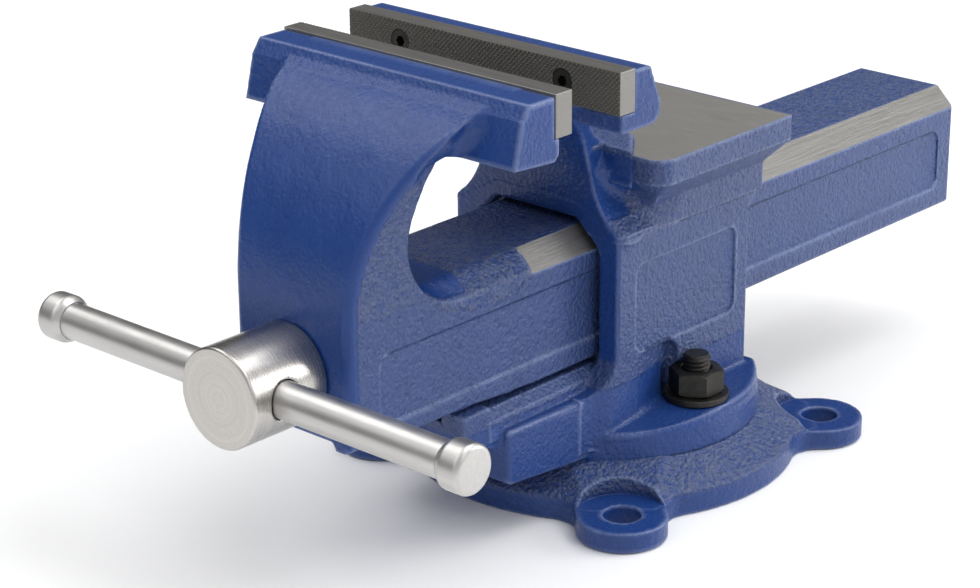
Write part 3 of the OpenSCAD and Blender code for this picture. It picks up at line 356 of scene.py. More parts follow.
def enamel(name, ground=None):
    """Cobalt enamel on a casting, painted sheen on coarse skin; lighter edges: thin paint plus painted
    highlight.

    ground(tree, place, normal) gives the mask of what is ground bare after painting, the stretch of the
    grinding lines there and the metal's tone.
    """
    deep_blue, full_blue = (0.0094, 0.0405, 0.180), (0.0116, 0.047, 0.203)
    # First colour below: a painted greyish sheen for coarse skin. Second: the lighter edge blue, partly thin
    # paint, partly painted highlight.
    painted_sheen_grey, thin_paint_highlight_blue = (0.13, 0.142, 0.176), (0.18, 0.23, 0.40)
    bare_tones = (0.78, 0.77, 0.74), (1.22, 1.2, 1.15), (1.02, 0.97, 0.88)
    coat = 0.06
    material, tree, shader, place = new_material(name)
    grain = add(tree, "ShaderNodeAttribute", attribute_name="grain").outputs["Fac"]
    edge = add(tree, "ShaderNodeAttribute", attribute_name="edge").outputs["Fac"]
    skin = place_group(tree, SAND_CAST, Place=place, Grain=grain)
    paint = tint(tree, skin["Patch"], deep_blue, full_blue)
    # Painted sheen: where the skin is coarse, a speckled greyish tint is mixed into the paint in place of the
    # sheen light gives rough enamel.
    coarse = number(tree, "MULTIPLY_ADD", grain, 1.4, -0.4, True)
    spread = number(tree, "MULTIPLY_ADD", grain, 2.5, -1.85, True)
    speckle = number(tree, "MULTIPLY", number(tree, "SUBTRACT", skin["Shade"], 0.5), spread)
    painted_sheen = number(tree, "MULTIPLY", number(tree, "MULTIPLY_ADD", speckle, 0.5, 0.31), coarse)
    paint = tint(tree, painted_sheen, paint, painted_sheen_grey)
    # Lighter blue along the outer edges: partly paint thinned there, partly a painted edge highlight.
    thin_paint_and_highlight = number(tree, "MULTIPLY", edge, number(tree, "MULTIPLY_ADD", skin["Patch"], 0.4, 0.36))
    paint = tint(tree, thin_paint_and_highlight, paint, thin_paint_highlight_blue)
    rough = number(tree, "MULTIPLY_ADD", skin["Shade"], 0.12, 0.27)
    height = skin["Height"]
    shader.inputs["Coat Weight"].default_value = coat
    if ground is not None:
        normal = tree.nodes.new("ShaderNodeNewGeometry").outputs["Normal"]
        metal, stretch, tone = ground(tree, place, normal)
        painted = number(tree, "SUBTRACT", 1.0, metal)
        lines = place_group(tree, GRINDING, Place=place, Stretch=stretch)
        dark, light, warm = ([tone * c for c in shade] for shade in bare_tones)
        bare = tint(tree, lines["Lines"], dark, light)
        bare = tint(tree, number(tree, "MULTIPLY", lines["Blotch"], 0.35), bare, warm)
        paint = tint(tree, metal, paint, bare)
        bare_rough = number(tree, "MULTIPLY_ADD", lines["Lines"], 0.12, 0.42)
        rough = number(tree, "ADD", number(tree, "MULTIPLY", rough, painted),
                       number(tree, "MULTIPLY", bare_rough, metal))
        scored = number(tree, "MULTIPLY", lines["Lines"], number(tree, "MULTIPLY", metal, 0.12))
        height = number(tree, "ADD", number(tree, "MULTIPLY", height, painted), scored)
        tree.links.new(number(tree, "MULTIPLY", metal, 0.85), shader.inputs["Metallic"])
        tree.links.new(number(tree, "MULTIPLY_ADD", metal, -coat, coat), shader.inputs["Coat Weight"])
    shader.inputs["Coat Roughness"].default_value = 0.16
    shader.inputs["Specular IOR Level"].default_value = 0.32
    surfaced(tree, shader, paint, rough, height, 1.0, 0.0014)
    return material


swivel_base.data.materials.append(enamel("base_enamel"))
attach(swivel_base, "base")
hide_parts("swivel_base")


# Vise body
# One iron casting: the housing round the slide, the anvil, the neck with the fixed jaw, the flange that
# turns on the base and the toe under the slide. It is enamelled, and the anvil's top is then ground.

HOUSING_HALF_W, TUNNEL_HALF_W, TUNNEL_FLOOR, WAY_Z, NOSE_TOP = 46.5, 35, 53, 62.2, 57.2
ANVIL_TOP, EAR_TOP = 154.5, 36.5
JAW_HALF_W, CASTING_TOP, PLATE_SEAT_Z, PLATE_MID_Z, PLATE_SCREW_X = 75, 204.5, 187.5, 196.5, 45
BAR_HALF_W, BEVEL_FOOT_Z = 32, 111.5


def outline(u, v, points, r=0.0):
    """Signed distance to a closed polygon, counter-clockwise, its outer corners rounded to radius r.

    The polygon is first drawn in by r, then the least distance to its edges, negative inside, less r.
    """
    p = np.array(points, float)
    edge = np.roll(p, -1, 0) - p
    normal = np.stack([edge[:, 1], -edge[:, 0]], 1) / np.linalg.norm(edge, axis=1, keepdims=True)
    before = np.roll(normal, 1, 0)
    p = p - r * (normal + before) / (1 + (normal * before).sum(axis=1, keepdims=True))
    edge = np.roll(p, -1, 0) - p
    least, inside = np.inf, False
    for (au, av), (eu, ev) in zip(p, edge):
        wu, wv = u - au, v - av
        t = np.clip((wu * eu + wv * ev) / (eu * eu + ev * ev), 0, 1)
        least = np.minimum(least, (wu - t * eu) ** 2 + (wv - t * ev) ** 2)
        straddles = (av <= v) != (av + ev <= v)
        inside = inside ^ (straddles & ((wu * ev - wv * eu) * np.sign(ev) < 0))
    return np.where(inside, -1, 1) * np.sqrt(least) - r


def slot_distance(u, v, half_u, half_v, r):
    """Signed distance to a rectangle about the origin with corners of radius r."""
    du, dv = np.abs(u) - half_u + r, np.abs(v) - half_v + r
    return np.hypot(np.maximum(du, 0), np.maximum(dv, 0)) + np.minimum(np.maximum(du, dv), 0) - r


def bevel_distance(ax, z):
    """Height over the bevel of the slide bar's upper edge, which leans 45 degrees."""
    return (ax - BAR_HALF_W + z - BEVEL_FOOT_Z) / math.sqrt(2)


def body_distance(x, y, z):
    """Housing, ledge, anvil, neck, jaw, flange, ears and toe with fillets, less tunnel, bays and holes."""
    ax = np.abs(x)
    r = np.hypot(x, y)
    housing = both(both(ax - HOUSING_HALF_W, np.abs(y) - 45.5, 1.8), both(z - 118, 20.8 - z, 0.3), 0.3)
    turn = np.clip((y + 40) / 38, 0, 1)
    lean = np.radians(60) * (1 - turn * turn * (3 - 2 * turn))
    shoulder = (ax - 47) * np.cos(lean) + (z - 117.5) * np.sin(lean)
    ledge = both(both(shoulder, 117.3 - z, 0.3), both(np.abs(y - 4.25) - 49.75, z - 131, 0.3), 1.0)
    cove = np.maximum(np.maximum(8.5 - np.hypot(y - 54, z - 108.8), np.maximum(y - 54, 45 - y)),
                      np.maximum(np.maximum(108.8 - z, z - 118), ax - HOUSING_HALF_W))
    plan = slot_distance(x, y - 28.5, 62, 65.5, 9)
    under = (plan + 1.11 * (143.5 - z)) / 1.494
    anvil = both(both(both(plan, y - 54, 1.2), under, 0.6), both(z - ANVIL_TOP, 119 - z, 0.3), 0.5)
    arch = np.maximum(np.where(z > 142.5, 34 - np.hypot(y + 79.5, z - 142.5), -45.5 - y), -79.5 - y)
    hollow = np.maximum(31.5 - np.hypot(y + 22, z - 186), y + 22)
    waist = 40 - np.hypot(ax - 70, z - 152)
    waist = np.where(z < 150, np.maximum(waist, ax - 46.4), waist)
    neck = both(both(both(arch, waist, 1.6), hollow, 1.2), both(118 - z, z - 187.4, 0.2), 0.2)
    root_plan = both(ax - 46 + (y + 37) * 0.79, np.abs(y + 27.5) - 9.5, 0.5) * 0.8
    root = both(root_plan, both(z - 156.5, 140 - z, 0.2), 0.9)
    jaw_end = outline(y, z, [(-71, PLATE_SEAT_Z), (-78.5, PLATE_SEAT_Z), (-78.5, 179.5), (-59, 179.5),
                             (-55, 182), (-54, PLATE_SEAT_Z), (-61, CASTING_TOP), (-71, CASTING_TOP)], 1.3)
    jaw = both(jaw_end, ax - JAW_HALF_W, 1.6)
    flange = both(r - 71 + 1.5 * (z - 20.8) / 11, np.abs(z - 26.3) - 5.5, 1.0)
    ear_top = EAR_TOP + np.minimum(0.12 * (y + 17) - 0.1 * np.maximum(ax - 49, 0), 0)
    ear = both(both(r - 69.7, z - ear_top, 1.4), both(y - 52, 21 - z, 0.3), 1.6)
    toe_root = np.clip((y + 108) / 68, 0, 1)
    toe_top = both(z - 50.2, (ax - 38.8 + z - 50.8) / math.sqrt(2), 0.8)
    toe_side = both(both(ax - 40 - 2 * toe_root, toe_top, 1.0), (25.8 - z - 5 * toe_root) * 0.99, 1.4)
    toe = both(toe_side, both(-108 - y, y + 40, 0.3), 2.5)
    rail = outline(ax, z, [(24, 47), (36.2, 47), (35.5, 55.5), (31.5, 59.6), (24, 59.6)], 0.6)
    rail = both(rail, both(-115 - y, y + 40, 0.3), 0.5)
    bracket = [(-130, 49), (-107, 41), (-107, 50), (-114, 50)]
    nose = both(outline(y, z, bracket + [(-114, NOSE_TOP), (-130, NOSE_TOP)], 1.0), ax - 35.5, 1.6)
    pad_side = outline(y, z, bracket + [(-114, WAY_Z), (-130, WAY_Z)], 1.0)
    pads = both(pad_side, np.abs(ax - 28.75) - 6.75, 1.6)
    pad_cove = np.maximum(2.6 - np.hypot(y + 111.4, z - WAY_Z), np.maximum(-114.5 - y, y + 111.4))
    pad_cove = np.maximum(pad_cove, np.maximum(np.maximum(58 - z, z - WAY_Z), np.abs(ax - 27.6) - 3.9))
    nose = np.minimum(nose, joined(pads, pad_cove, 0.3))
    t = np.clip((-45.5 - y) / 18, 0, 1)
    corner = both(18 - np.hypot(y + 63.5, z - 68.2), ax - HOUSING_HALF_W + 5.2 * t * t * (3 - 2 * t), 1.8)
    corner = np.maximum(np.maximum(corner, 24 - ax), np.maximum(-63.5 - y, y + 44))
    corner = np.maximum(corner, np.maximum(z - 68.2, 26 - z))
    housing = np.minimum(housing, corner)
    body = np.minimum(joined(housing, ledge, 0.2), cove)
    anvil = joined(anvil, neck, 0.4 + 7.6 * np.clip((152 - z) / 6, 0, 1))
    foot = np.clip((-28 - y) / 8, 0, 1) * np.clip((y + 45) / 4, 0, 1) * np.clip((ax - 25) / 5, 0, 1)
    body = joined(body, anvil, 0.8 + 5 * foot)
    body = joined(body, root, 0.8)
    body = joined(body, jaw, 4)
    body = joined(joined(body, flange, 2.0), ear, 2.2)
    toe = np.minimum(joined(joined(toe, rail, 0.8), nose, 2.0), nose)
    tunnel_floor = np.where(y < -47, NOSE_TOP, TUNNEL_FLOOR)
    tunnel_roof = both((ax - TUNNEL_HALF_W + z - 111.7) / math.sqrt(2), z - 124, 1.2)
    tunnel = both(both(ax - TUNNEL_HALF_W, tunnel_floor - z, 12), tunnel_roof, 1.2)
    body = cut(body, both(tunnel, -64 - y, 0.5), 2.4)
    body = joined(body, toe, 2)
    floor = both(both(ax - TUNNEL_HALF_W, z - TUNNEL_FLOOR, 0.5), np.abs(y) - 45, 1)
    body = np.minimum(body, both(floor, 30 - z, 0.3))
    over_bevel = bevel_distance(ax, z)
    along_bevel = (ax - z + 89) / math.sqrt(2)
    lands = both(np.abs(over_bevel - 1.65) - 1.35, np.abs(along_bevel) - 6.7, 0.2)
    ways = both(np.abs(ax - 28) - 6, np.abs(z - 56.5) - 5.7, 0.3)
    inside = np.abs(y - 3) - 42.5
    body = np.minimum(body, both(np.minimum(lands, ways), inside, 0.4))
    body = both(body, both(z - CASTING_TOP, ax - JAW_HALF_W, 0.8), 0.8)
    body = cut(body, both(y + 71, PLATE_SEAT_Z - z, 0.2), 0.3)
    bay = both(np.hypot(ax - LOCK_CIRCLE_R, y) - 16, both(EAR_TOP - z, z - 52.3, 0.3), 2)
    scoop = both(both(z - 63.6, y + 3, 8), both(EAR_TOP - z, -33 - y, 0.3), 2)
    scoop = both(scoop, -((ax - 47) * 33 + (y + 33) * 7) / math.hypot(33, 7), 2.5)
    body = cut(body, np.minimum(bay, scoop), 1.0)
    panel = both(slot_distance(y - 1.5, z - 84.5, 34.5, 20, 5), 45.5 - ax, 0.3)
    body = cut(body, panel, 0.4)
    body = np.minimum(body, both(r - PIVOT_R, np.abs(z - 15) - 7.2, 0.4))
    holes = np.hypot(ax - LOCK_CIRCLE_R, y) - 7.5
    holes = np.minimum(both(holes, z - 40, 0.1), both(np.hypot(x, np.abs(y) - 30) - 4.25, z - 54, 0.1))
    holes = np.minimum(holes, both(np.hypot(x, np.abs(y) - 30) - 7, z - 40, 0.1))
    plate_screw = np.hypot(ax - PLATE_SCREW_X, z - PLATE_MID_Z) - 3.05
    holes = np.minimum(holes, both(plate_screw, np.abs(y + 70) - 9.5, 0.1))
    return cut(body, holes, 0.2)


def body_grain(x, y, z):
    """Coarse on the shoulders, the walls and the anvil's sides, fine on the toe, the neck and the jaw."""
    neck = (z > 126) & (z < 154) & (y < -30) & (np.abs(x) < 48)
    shoulder = (z > 116) & (z < 157) & (y > -46) & ~neck
    front = (y < -44) & (z > 63)
    low = np.where(y < -48, 0.4, 0.35)
    smooth = np.where(z > 178, 0.4, 0.3)
    rough = np.where(shoulder, 0.95, np.where(z < 53, low, 0.85))
    return np.where((z > 157) | front | neck, smooth, rough)


def ground_anvil(tree, place, normal):
    """Mask of the anvil's flat top, the stretch of its grinding lines, which run along X, and its tone."""
    level = number(tree, "COMPARE", split(tree, place)["Z"], ANVIL_TOP * MM, 0.00012)
    flat = number(tree, "GREATER_THAN", split(tree, normal)["Z"], 0.985)
    return number(tree, "MULTIPLY", level, flat), (60.0, 1600.0, 60.0), 0.3


vise_body = casting_piece("cast_vise_body", body_distance, (0, -134, 5), (78, 58, 208), step=1.3,
                          grain=body_grain)
vise_body.data.materials.append(enamel("body_enamel", ground_anvil))
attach(vise_body, "body")
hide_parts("vise_body")


# Jaw plates and their screws
# Two hardened steel bars, ground on the top and the ends. The gripping faces are milled with crossing
# vee grooves and left black. Each is held by two black socket screws sunk below its face.

FIXED_FACE_Y, MOVING_FACE_Y, PLATE_T, PLATE_HALF_H = -81, -109, 10, 9


def plate_distance(face, inward):
    """Bar behind a plane y = face, with grooves at two diagonals: depth times the larger of two sawteeth."""
    pitch, depth = 1.75, 0.5

    def tooth(s):
        return np.abs(2 * (s / pitch - np.floor(s / pitch)) - 1)

    def distance(x, y, z):
        behind = (y - face) * inward
        groove = np.maximum(tooth((x + z) * 0.8), tooth((x - z) * 0.8))
        bar = both(depth * groove - behind, behind - PLATE_T, 0.3)
        bar = both(bar, np.abs(z - PLATE_MID_Z) - PLATE_HALF_H, 0.35)
        bar = both(bar, np.abs(x) - JAW_HALF_W, 0.35)
        reach = np.hypot(np.abs(x) - PLATE_SCREW_X, z - PLATE_MID_Z)
        bore = np.minimum(reach - 3.25, both(reach - 5.25, behind - 6.5, 0.1))
        return cut(bar, bore, 0.25)

    return distance


def plate_steel(name, face, inward):
    """Ground steel with lines along X; a dark oxide skin on the grooved face, rubbed bright on its points."""
    material, tree, shader, place = new_material(name)
    lines = place_group(tree, GRINDING, Place=place, Stretch=(45.0, 1500.0, 1500.0))
    bare = tint(tree, lines["Lines"], (0.17, 0.167, 0.16), (0.26, 0.256, 0.246))
    bare = tint(tree, number(tree, "MULTIPLY", lines["Blotch"], 0.3), bare, (0.25, 0.236, 0.215))
    behind = number(tree, "MULTIPLY", number(tree, "SUBTRACT", split(tree, place)["Y"], face * MM), inward)
    dark = number(tree, "LESS_THAN", behind, 0.00075)
    rubbed = number(tree, "MULTIPLY_ADD", behind, -9000.0, 1.25, True)
    speck = noise(tree, place, 420.0, 3.0, 0.6)
    rubbed = number(tree, "MULTIPLY", rubbed, number(tree, "MULTIPLY_ADD", speck, 1.6, -0.35, True))
    oxide = tint(tree, rubbed, (0.105, 0.1, 0.092), (0.46, 0.45, 0.42))
    colour = tint(tree, dark, bare, oxide)
    rough = number(tree, "MULTIPLY_ADD", lines["Lines"], 0.14, 0.32)
    rough = number(tree, "MULTIPLY_ADD", dark, 0.14, rough)
    surfaced(tree, shader, colour, rough, lines["Lines"], 0.35, 0.00002)
    shader.inputs["Metallic"].default_value = 0.8
    return material


def black_oxide():
    """Blackened steel: near-black with brownish patches and a satin sheen."""
    material, tree, shader, place = new_material("black_oxide_steel")
    patch = noise(tree, place, 240.0, 4.0, 0.6)
    speck = noise(tree, place, 1500.0, 2.0, 0.5)
    tone = number(tree, "MULTIPLY_ADD", patch, 1.8, -0.4, True)
    colour = tint(tree, tone, (0.016, 0.0157, 0.0148), (0.047, 0.0445, 0.0395))
    rough = number(tree, "MULTIPLY_ADD", speck, 0.22, 0.30)
    surfaced(tree, shader, colour, rough, speck, 0.3, 0.00005)
    shader.inputs["Metallic"].default_value = 0.75
    return material


BLACK_OXIDE = black_oxide()


def dress(node, material):
    """Gives a CAD node's object one material."""
    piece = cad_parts[node]
    piece.data.materials.clear()
    piece.data.materials.append(material)


for node, face, inward, carrier in (("fixed_jaw_plate", FIXED_FACE_Y, 1, "body"),
                                    ("moving_jaw_plate", MOVING_FACE_Y, -1, "slide")):
    near, far = sorted((face - inward * 1.0, face + inward * 11.0))
    plate = casting_piece("ground_" + node, plate_distance(face, inward), (0, near, 186.5), (76, far, 206.5),
                          step=0.42)
    plate.data.materials.append(plate_steel(node + "_steel", face, inward))
    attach(plate, carrier)
    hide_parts(node)
dress("fixed_plate_screws", BLACK_OXIDE)
dress("moving_plate_screws", BLACK_OXIDE)


# Moving jaw
# The second large iron casting: the slide bar, the arm that rises from its front and the jaw on top.
# Enamelled all over; the bar's upper edges are then milled to the two bevels that run in the body.

SPINDLE_Z, MILLED_FROM_Y, JAW_SEAT_Y = 93.5, -84, -119
THROAT_Y, THROAT_Z, THROAT_R = -118, 149.5, 41
ARM_Y, ARM_Z, ARM_R = -104, 118, 88
FLARE_X, FLARE_Z, FLARE_R = 202, 115, 170


def jaw_distance(x, y, z):
    """Side view of the arm and the bar joined with a fillet, cut to the front view, plus the jaw block."""
    ax = np.abs(x)
    front = np.where(z > ARM_Z, np.hypot(y - ARM_Y, z - ARM_Z) - ARM_R, ARM_Y - ARM_R - y)
    throat = np.where(y < THROAT_Y, np.hypot(y - THROAT_Y, z - THROAT_Z), np.abs(z - THROAT_Z)) - THROAT_R
    arm = both(both(front, y - JAW_SEAT_Y, 0.5), -np.maximum(throat, z - 179.5), 0.8)
    bevel = bevel_distance(ax, z)
    bar_top = both(z - 121, bevel - 0.9, np.where(y < MILLED_FROM_Y, 2.2, 0.3))
    bar = both(bar_top, both(-170 - y, y - 230, 1.2), 1.0)
    bottom = 62.5 + 2.5 * np.clip((MILLED_FROM_Y - y) / 50, 0, 1)
    cast = both(joined(arm, bar, 6), bottom - z, 1.6)
    flare = np.where(z > FLARE_Z, FLARE_R - np.hypot(ax - FLARE_X, z - FLARE_Z), ax - BAR_HALF_W)
    crease = 188 - 0.2 * np.maximum(-142 - y, 0)
    rise = np.clip((z - 150) / 28, 0, 1) * np.clip((crease - z) / 9, 0, 1)
    flare = flare + 4.5 * rise * rise * np.clip((y + 164) / 10, 0, 1)
    edge = 1.4 + 3.0 * np.clip((-150 - y) / 20, 0, 1)
    cast = both(cast, flare, edge)
    block = outline(y, z, [(-116.5, PLATE_SEAT_Z), (JAW_SEAT_Y, PLATE_SEAT_Z), (JAW_SEAT_Y, CASTING_TOP),
                           (-133.5, CASTING_TOP), (-138, 198.3), (-142.6, 179.5), (JAW_SEAT_Y, 178),
                           (-116.5, 180.5)], 1.0)
    block = both(block, ax - JAW_HALF_W, 1.4)
    blend = 1.5 + (3.5 + 2.5 * np.clip((ax - 30) / 22, 0, 1)) * np.clip((201 - z) / 8, 0, 1)
    cast = joined(cast, block, blend)
    roof = 178 - (y - JAW_SEAT_Y) * 1.5 / 23
    cast = cut(cast, np.maximum(np.maximum(throat, z - roof), 150 - z), 0.2)
    cast = both(cast, both(z - CASTING_TOP, ax - JAW_HALF_W, 0.8), 0.9)
    cast = cut(cast, both(JAW_SEAT_Y - y, PLATE_SEAT_Z - z, 0.2), 0.3)
    cast = cut(cast, both(-116.5 - y, both(176 - z, z - 190, 0.2), 0.2), 1.0)
    cast = cut(cast, both(-bevel, MILLED_FROM_Y - y, 0.1), 0.15)
    hollow = both(both(ax - 23, z - 112, 3), -152 - y, 3)
    notch = both(both(ax - 23, z - 68.5, 2.0), y + 148, 0.3)
    cast = cut(cast, np.minimum(hollow, notch), 1.0)
    panel = both(slot_distance(y - 22.5, z - 87.1, 196.5, 15, 6), 31 - ax, 0.25)
    cast = cut(cast, panel, 0.4)
    bore = both(np.hypot(x, z - SPINDLE_Z) - 13.55, y + 140, 0.2)
    screw = both(np.hypot(ax - PLATE_SCREW_X, z - PLATE_MID_Z) - 3.05, np.abs(y + 120) - 9.5, 0.1)
    return cut(cast, np.minimum(bore, screw), 0.5)


def flare_half(z):
    """Half width of the arm at height z: the bar's below FLARE_Z, then along a circle of radius FLARE_R."""
    arc = FLARE_X - np.sqrt(np.maximum(FLARE_R ** 2 - (z - FLARE_Z) ** 2, 0))
    return np.where(z > FLARE_Z, arc, BAR_HALF_W)


def jaw_grain(x, y, z):
    """Smooth on the arm's front and the jaw, coarse in the throat, on the bar's cast top and on the sides."""
    inner = np.where(z > ARM_Z, np.hypot(y - ARM_Y, z - ARM_Z), ARM_Y - y) < ARM_R - 5
    side = (np.abs(np.abs(x) - flare_half(z)) < 1.6) & inner & (z < 172)
    arch = (np.abs(np.hypot(y - THROAT_Y, z - THROAT_Z) - THROAT_R) < 1.6) & (y < THROAT_Y) & (z < 176)
    top = (y > -122) & (y < MILLED_FROM_Y) & (z > 106) & (z < 124)
    elsewhere = np.where(y > MILLED_FROM_Y, 1.1, np.where(y < -140, 0.16, 0.3))
    return np.where(arch | top, 1.2, np.where(side, np.where(z > 119, 1.0, 0.8), elsewhere))


def milled_bevels(tree, place, normal):
    """Mask of the two milled bevels, the stretch of their lines, which run along Y, and their tone."""
    spot = split(tree, place)
    level = number(tree, "ADD", number(tree, "ABSOLUTE", spot["X"]), spot["Z"])
    on_bevel = number(tree, "COMPARE", level, (BAR_HALF_W + BEVEL_FOOT_Z) * MM, 0.00022)
    tilted = number(tree, "COMPARE", split(tree, normal)["Z"], 0.7071, 0.12)
    behind = number(tree, "GREATER_THAN", spot["Y"], (MILLED_FROM_Y - 0.1) * MM)
    mask = number(tree, "MULTIPLY", number(tree, "MULTIPLY", on_bevel, behind), tilted)
    return mask, (900.0, 30.0, 900.0), 0.23


moving_jaw = casting_piece("cast_moving_jaw", jaw_distance, (0, -195, 59), (78, 233, 208), step=1.42,
                           grain=jaw_grain)
moving_jaw.data.materials.append(enamel("jaw_enamel", milled_bevels))
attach(moving_jaw, "slide")
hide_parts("moving_jaw")


# Spindle head
# A bright steel head turned from bar, with a hub that runs in the arm and a cross hole for the handle.
# The facing cut leaves fine rings on its front.

HANDLE_Y = -214.3
SPINDLE_AXIS = (0, 0, SPINDLE_Z)


def head_distance(x, y, z):
    """Head and hub about the spindle axis, less the cross hole along X, the screw's bore and a set screw's."""
    r = np.hypot(x, z - SPINDLE_Z)
    head = both(r - 21, np.abs(y + 211.8) - 19.5, 1.1)
    hub = both(r - 13.5, np.abs(y + 165) - 26.6, 0.6)
    solid = np.minimum(head, hub)
    solid = cut(solid, np.hypot(y - HANDLE_Y, z - SPINDLE_Z) - 8.15, 0.8)
    solid = cut(solid, both(r - 8.05, -178.4 - y, 0.2), 0.3)
    return cut(solid, both(np.hypot(x, y + 143.4) - 3.05, z - SPINDLE_Z, 0.1), 0.2)


def turned_steel(name, axis, centre):
    """Satin turned steel: fine rings round the axis and wider bands, both changing with radius and length."""
    ring_waves, band_waves = 1800.0, 260.0
    material, tree, shader, place = new_material(name)
    moved = add(tree, "ShaderNodeVectorMath", operation="SUBTRACT")
    tree.links.new(place, moved.inputs[0])
    moved.inputs[1].default_value = [c * MM for c in centre]
    parts = split(tree, moved.outputs[0])
    square = [number(tree, "POWER", number(tree, "ABSOLUTE", parts[n]), 2.0) for n in "XYZ" if n != axis]
    radius = number(tree, "SQRT", number(tree, "ADD", square[0], square[1]))

    def lathe_marks(waves, detail, roughness):
        """Noise on the radius and the length, in waves per metre."""
        spot = tree.nodes.new("ShaderNodeCombineXYZ")
        tree.links.new(number(tree, "MULTIPLY", radius, waves), spot.inputs[0])
        tree.links.new(number(tree, "MULTIPLY", parts[axis], waves), spot.inputs[1])
        return noise(tree, spot.outputs[0], 1.0, detail, roughness)

    rings = lathe_marks(ring_waves, 3.0, 0.6)
    bands = lathe_marks(band_waves, 2.0, 0.5)
    tone = number(tree, "MULTIPLY_ADD", rings, 0.5, number(tree, "MULTIPLY_ADD", bands, 0.7, -0.15), True)
    colour = tint(tree, tone, (0.39, 0.374, 0.357), (0.62, 0.598, 0.575))
    rough = number(tree, "MULTIPLY_ADD", rings, 0.12, 0.21)
    surfaced(tree, shader, colour, rough, rings, 0.4, 0.00002)
    shader.inputs["Metallic"].default_value = 1.0
    return material


SPINDLE_STEEL = turned_steel("turned_spindle_steel", "Y", SPINDLE_AXIS)
spindle_head = casting_piece("turned_spindle_head", head_distance, (0, -233, 70), (23, -136, 117), step=0.75)
spindle_head.data.materials.append(SPINDLE_STEEL)
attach(spindle_head, "spindle")
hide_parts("spindle_head")
for node in ("retaining_collar", "stop_collar", "cam_plate", "cam_cover"):
    dress(node, SPINDLE_STEEL)
for node in ("collar_set_screw", "stop_set_screw", "nut_block_screws", "cam_cover_screws"):
    dress(node, BLACK_OXIDE)


# Lead screw
# A steel screw with a trapezoid thread of 8 mm lead, fixed in the head's hub. It runs inside the bar
# and shows from below and through the open tail.


def grid_piece(name, grids, sharp=35.0):
    """One object from grids of points (rows, columns, 3), in mm, each closed along its columns."""
    places, quads, base = [], [], 0
    for grid in grids:
        rows, columns = grid.shape[:2]
        index = base + np.arange(rows * columns).reshape(rows, columns)
        turned = np.roll(index, -1, axis=1)
        quads.append(np.stack([index[:-1], turned[:-1], turned[1:], index[1:]], -1).reshape(-1, 4))
        places.append(grid.reshape(-1, 3))
        base += rows * columns
    mesh = bpy.data.meshes.new(name)
    mesh.from_pydata(np.concatenate(places) * MM, [], np.concatenate(quads))
    mesh.validate()
    mesh.polygons.foreach_set("use_smooth", np.ones(len(mesh.polygons), bool))
    mesh.set_sharp_from_angle(angle=math.radians(sharp))
    return placed(name, mesh)


def turned_grid(along, radius, axis, centre, sides=96):
    """Surface of revolution: row i lies at along[i] with radius[i] round an axis; both may change round it."""
    along, radius = np.asarray(along, float), np.asarray(radius, float)
    angle = np.linspace(0, 2 * np.pi, sides, endpoint=False)
    radius = radius[:, None] * np.ones(sides) if radius.ndim == 1 else radius
    along = along[:, None] * np.ones(sides) if along.ndim == 1 else along
    a, b = radius * np.cos(angle), radius * np.sin(angle)
    order = {"X": (along, a, b), "Y": (b, along, a), "Z": (a, b, along)}[axis]
    return np.stack(order, -1) + np.array(centre, float)


def trapezoid(share):
    """Thread height from 0 at the root to 1 at the crest, for a share of one lead."""
    return np.clip(np.minimum(share - 0.1, 0.6 - share) / 0.1, 0, 1)


def screw_grid():
    """Plain shank, then root radius plus a trapezoid that climbs one lead each turn, then a thinner tail."""
    sides, lead, root_r, tooth = 72, 8.0, 8.6, 2.4
    begin, end, run_out = -58.0, 188.0, 2.0
    y = np.arange(begin, end, 0.4)
    share = (y[:, None] - begin) / lead - np.arange(sides)[None, :] / sides
    full = np.clip(np.minimum(y - begin - lead, end - run_out - y) / run_out, 0, 1)[:, None]
    thread = root_r + tooth * trapezoid(share - np.floor(share)) * full
    shank_y, shank_r = [-178.1, -178.1, -58.2, -58.2], [0.0, 8.0, 8.0, root_r]
    tail_y, tail_r = [188.2, 188.2, 207, 207.5, 207.5], [root_r, 7.0, 7.0, 6.5, 0.0]
    rows = np.concatenate([np.outer(shank_r, np.ones(sides)), thread, np.outer(tail_r, np.ones(sides))])
    return turned_grid(np.concatenate([shank_y, y, tail_y]), rows, "Y", SPINDLE_AXIS, sides)


lead_screw = grid_piece("threaded_lead_screw", [screw_grid()])
lead_screw.data.materials.append(SPINDLE_STEEL)
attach(lead_screw, "spindle")
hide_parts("lead_screw")


# Handle
# A bright drawn steel bar that slides in the head's cross hole. A flared knob, turned from the same steel,
# is fixed on each end and keeps the bar in.

BAR_R, BAR_HALF_LEN = 7.75, 112.5
BAR_CENTRE = (0, HANDLE_Y, SPINDLE_Z)


def plain_metal(name, dark, light, rough, stretch):
    """Worked metal with fine tool marks, drawn out along one axis, and a mottled tone."""
    material, tree, shader, place = new_material(name)
    lines = place_group(tree, GRINDING, Place=place, Stretch=stretch)
    colour = tint(tree, lines["Lines"], dark, light)
    blotched = number(tree, "MULTIPLY_ADD", lines["Blotch"], 0.12, rough)
    surfaced(tree, shader, colour, blotched, lines["Lines"], 0.3, 0.00003)
    shader.inputs["Metallic"].default_value = 1.0
    return material


DRAWN = (18.0, 500.0, 500.0)
HANDLE_STEEL = plain_metal("drawn_handle_steel", (0.47, 0.462, 0.45), (0.56, 0.552, 0.54), 0.31, DRAWN)


def knob_profile():
    """Radius along the bar, from the neck ring over the flare and the barrel to the rounded end."""
    turn = np.linspace(0, np.pi / 2, 8)
    flare = np.linspace(0, 1, 12)
    along = np.concatenate([[106.0, 106.0, 106.2], 106.3 + 3.7 * flare, [116.3],
                            116.5 + 2.5 * np.sin(turn), [119.0]])
    radius = np.concatenate([[7.6, 8.2, 8.4], 8.45 + 1.8 * np.sin(flare * np.pi / 2), [10.25],
                             7.75 + 2.5 * np.cos(turn), [0.0]])
    return along, radius


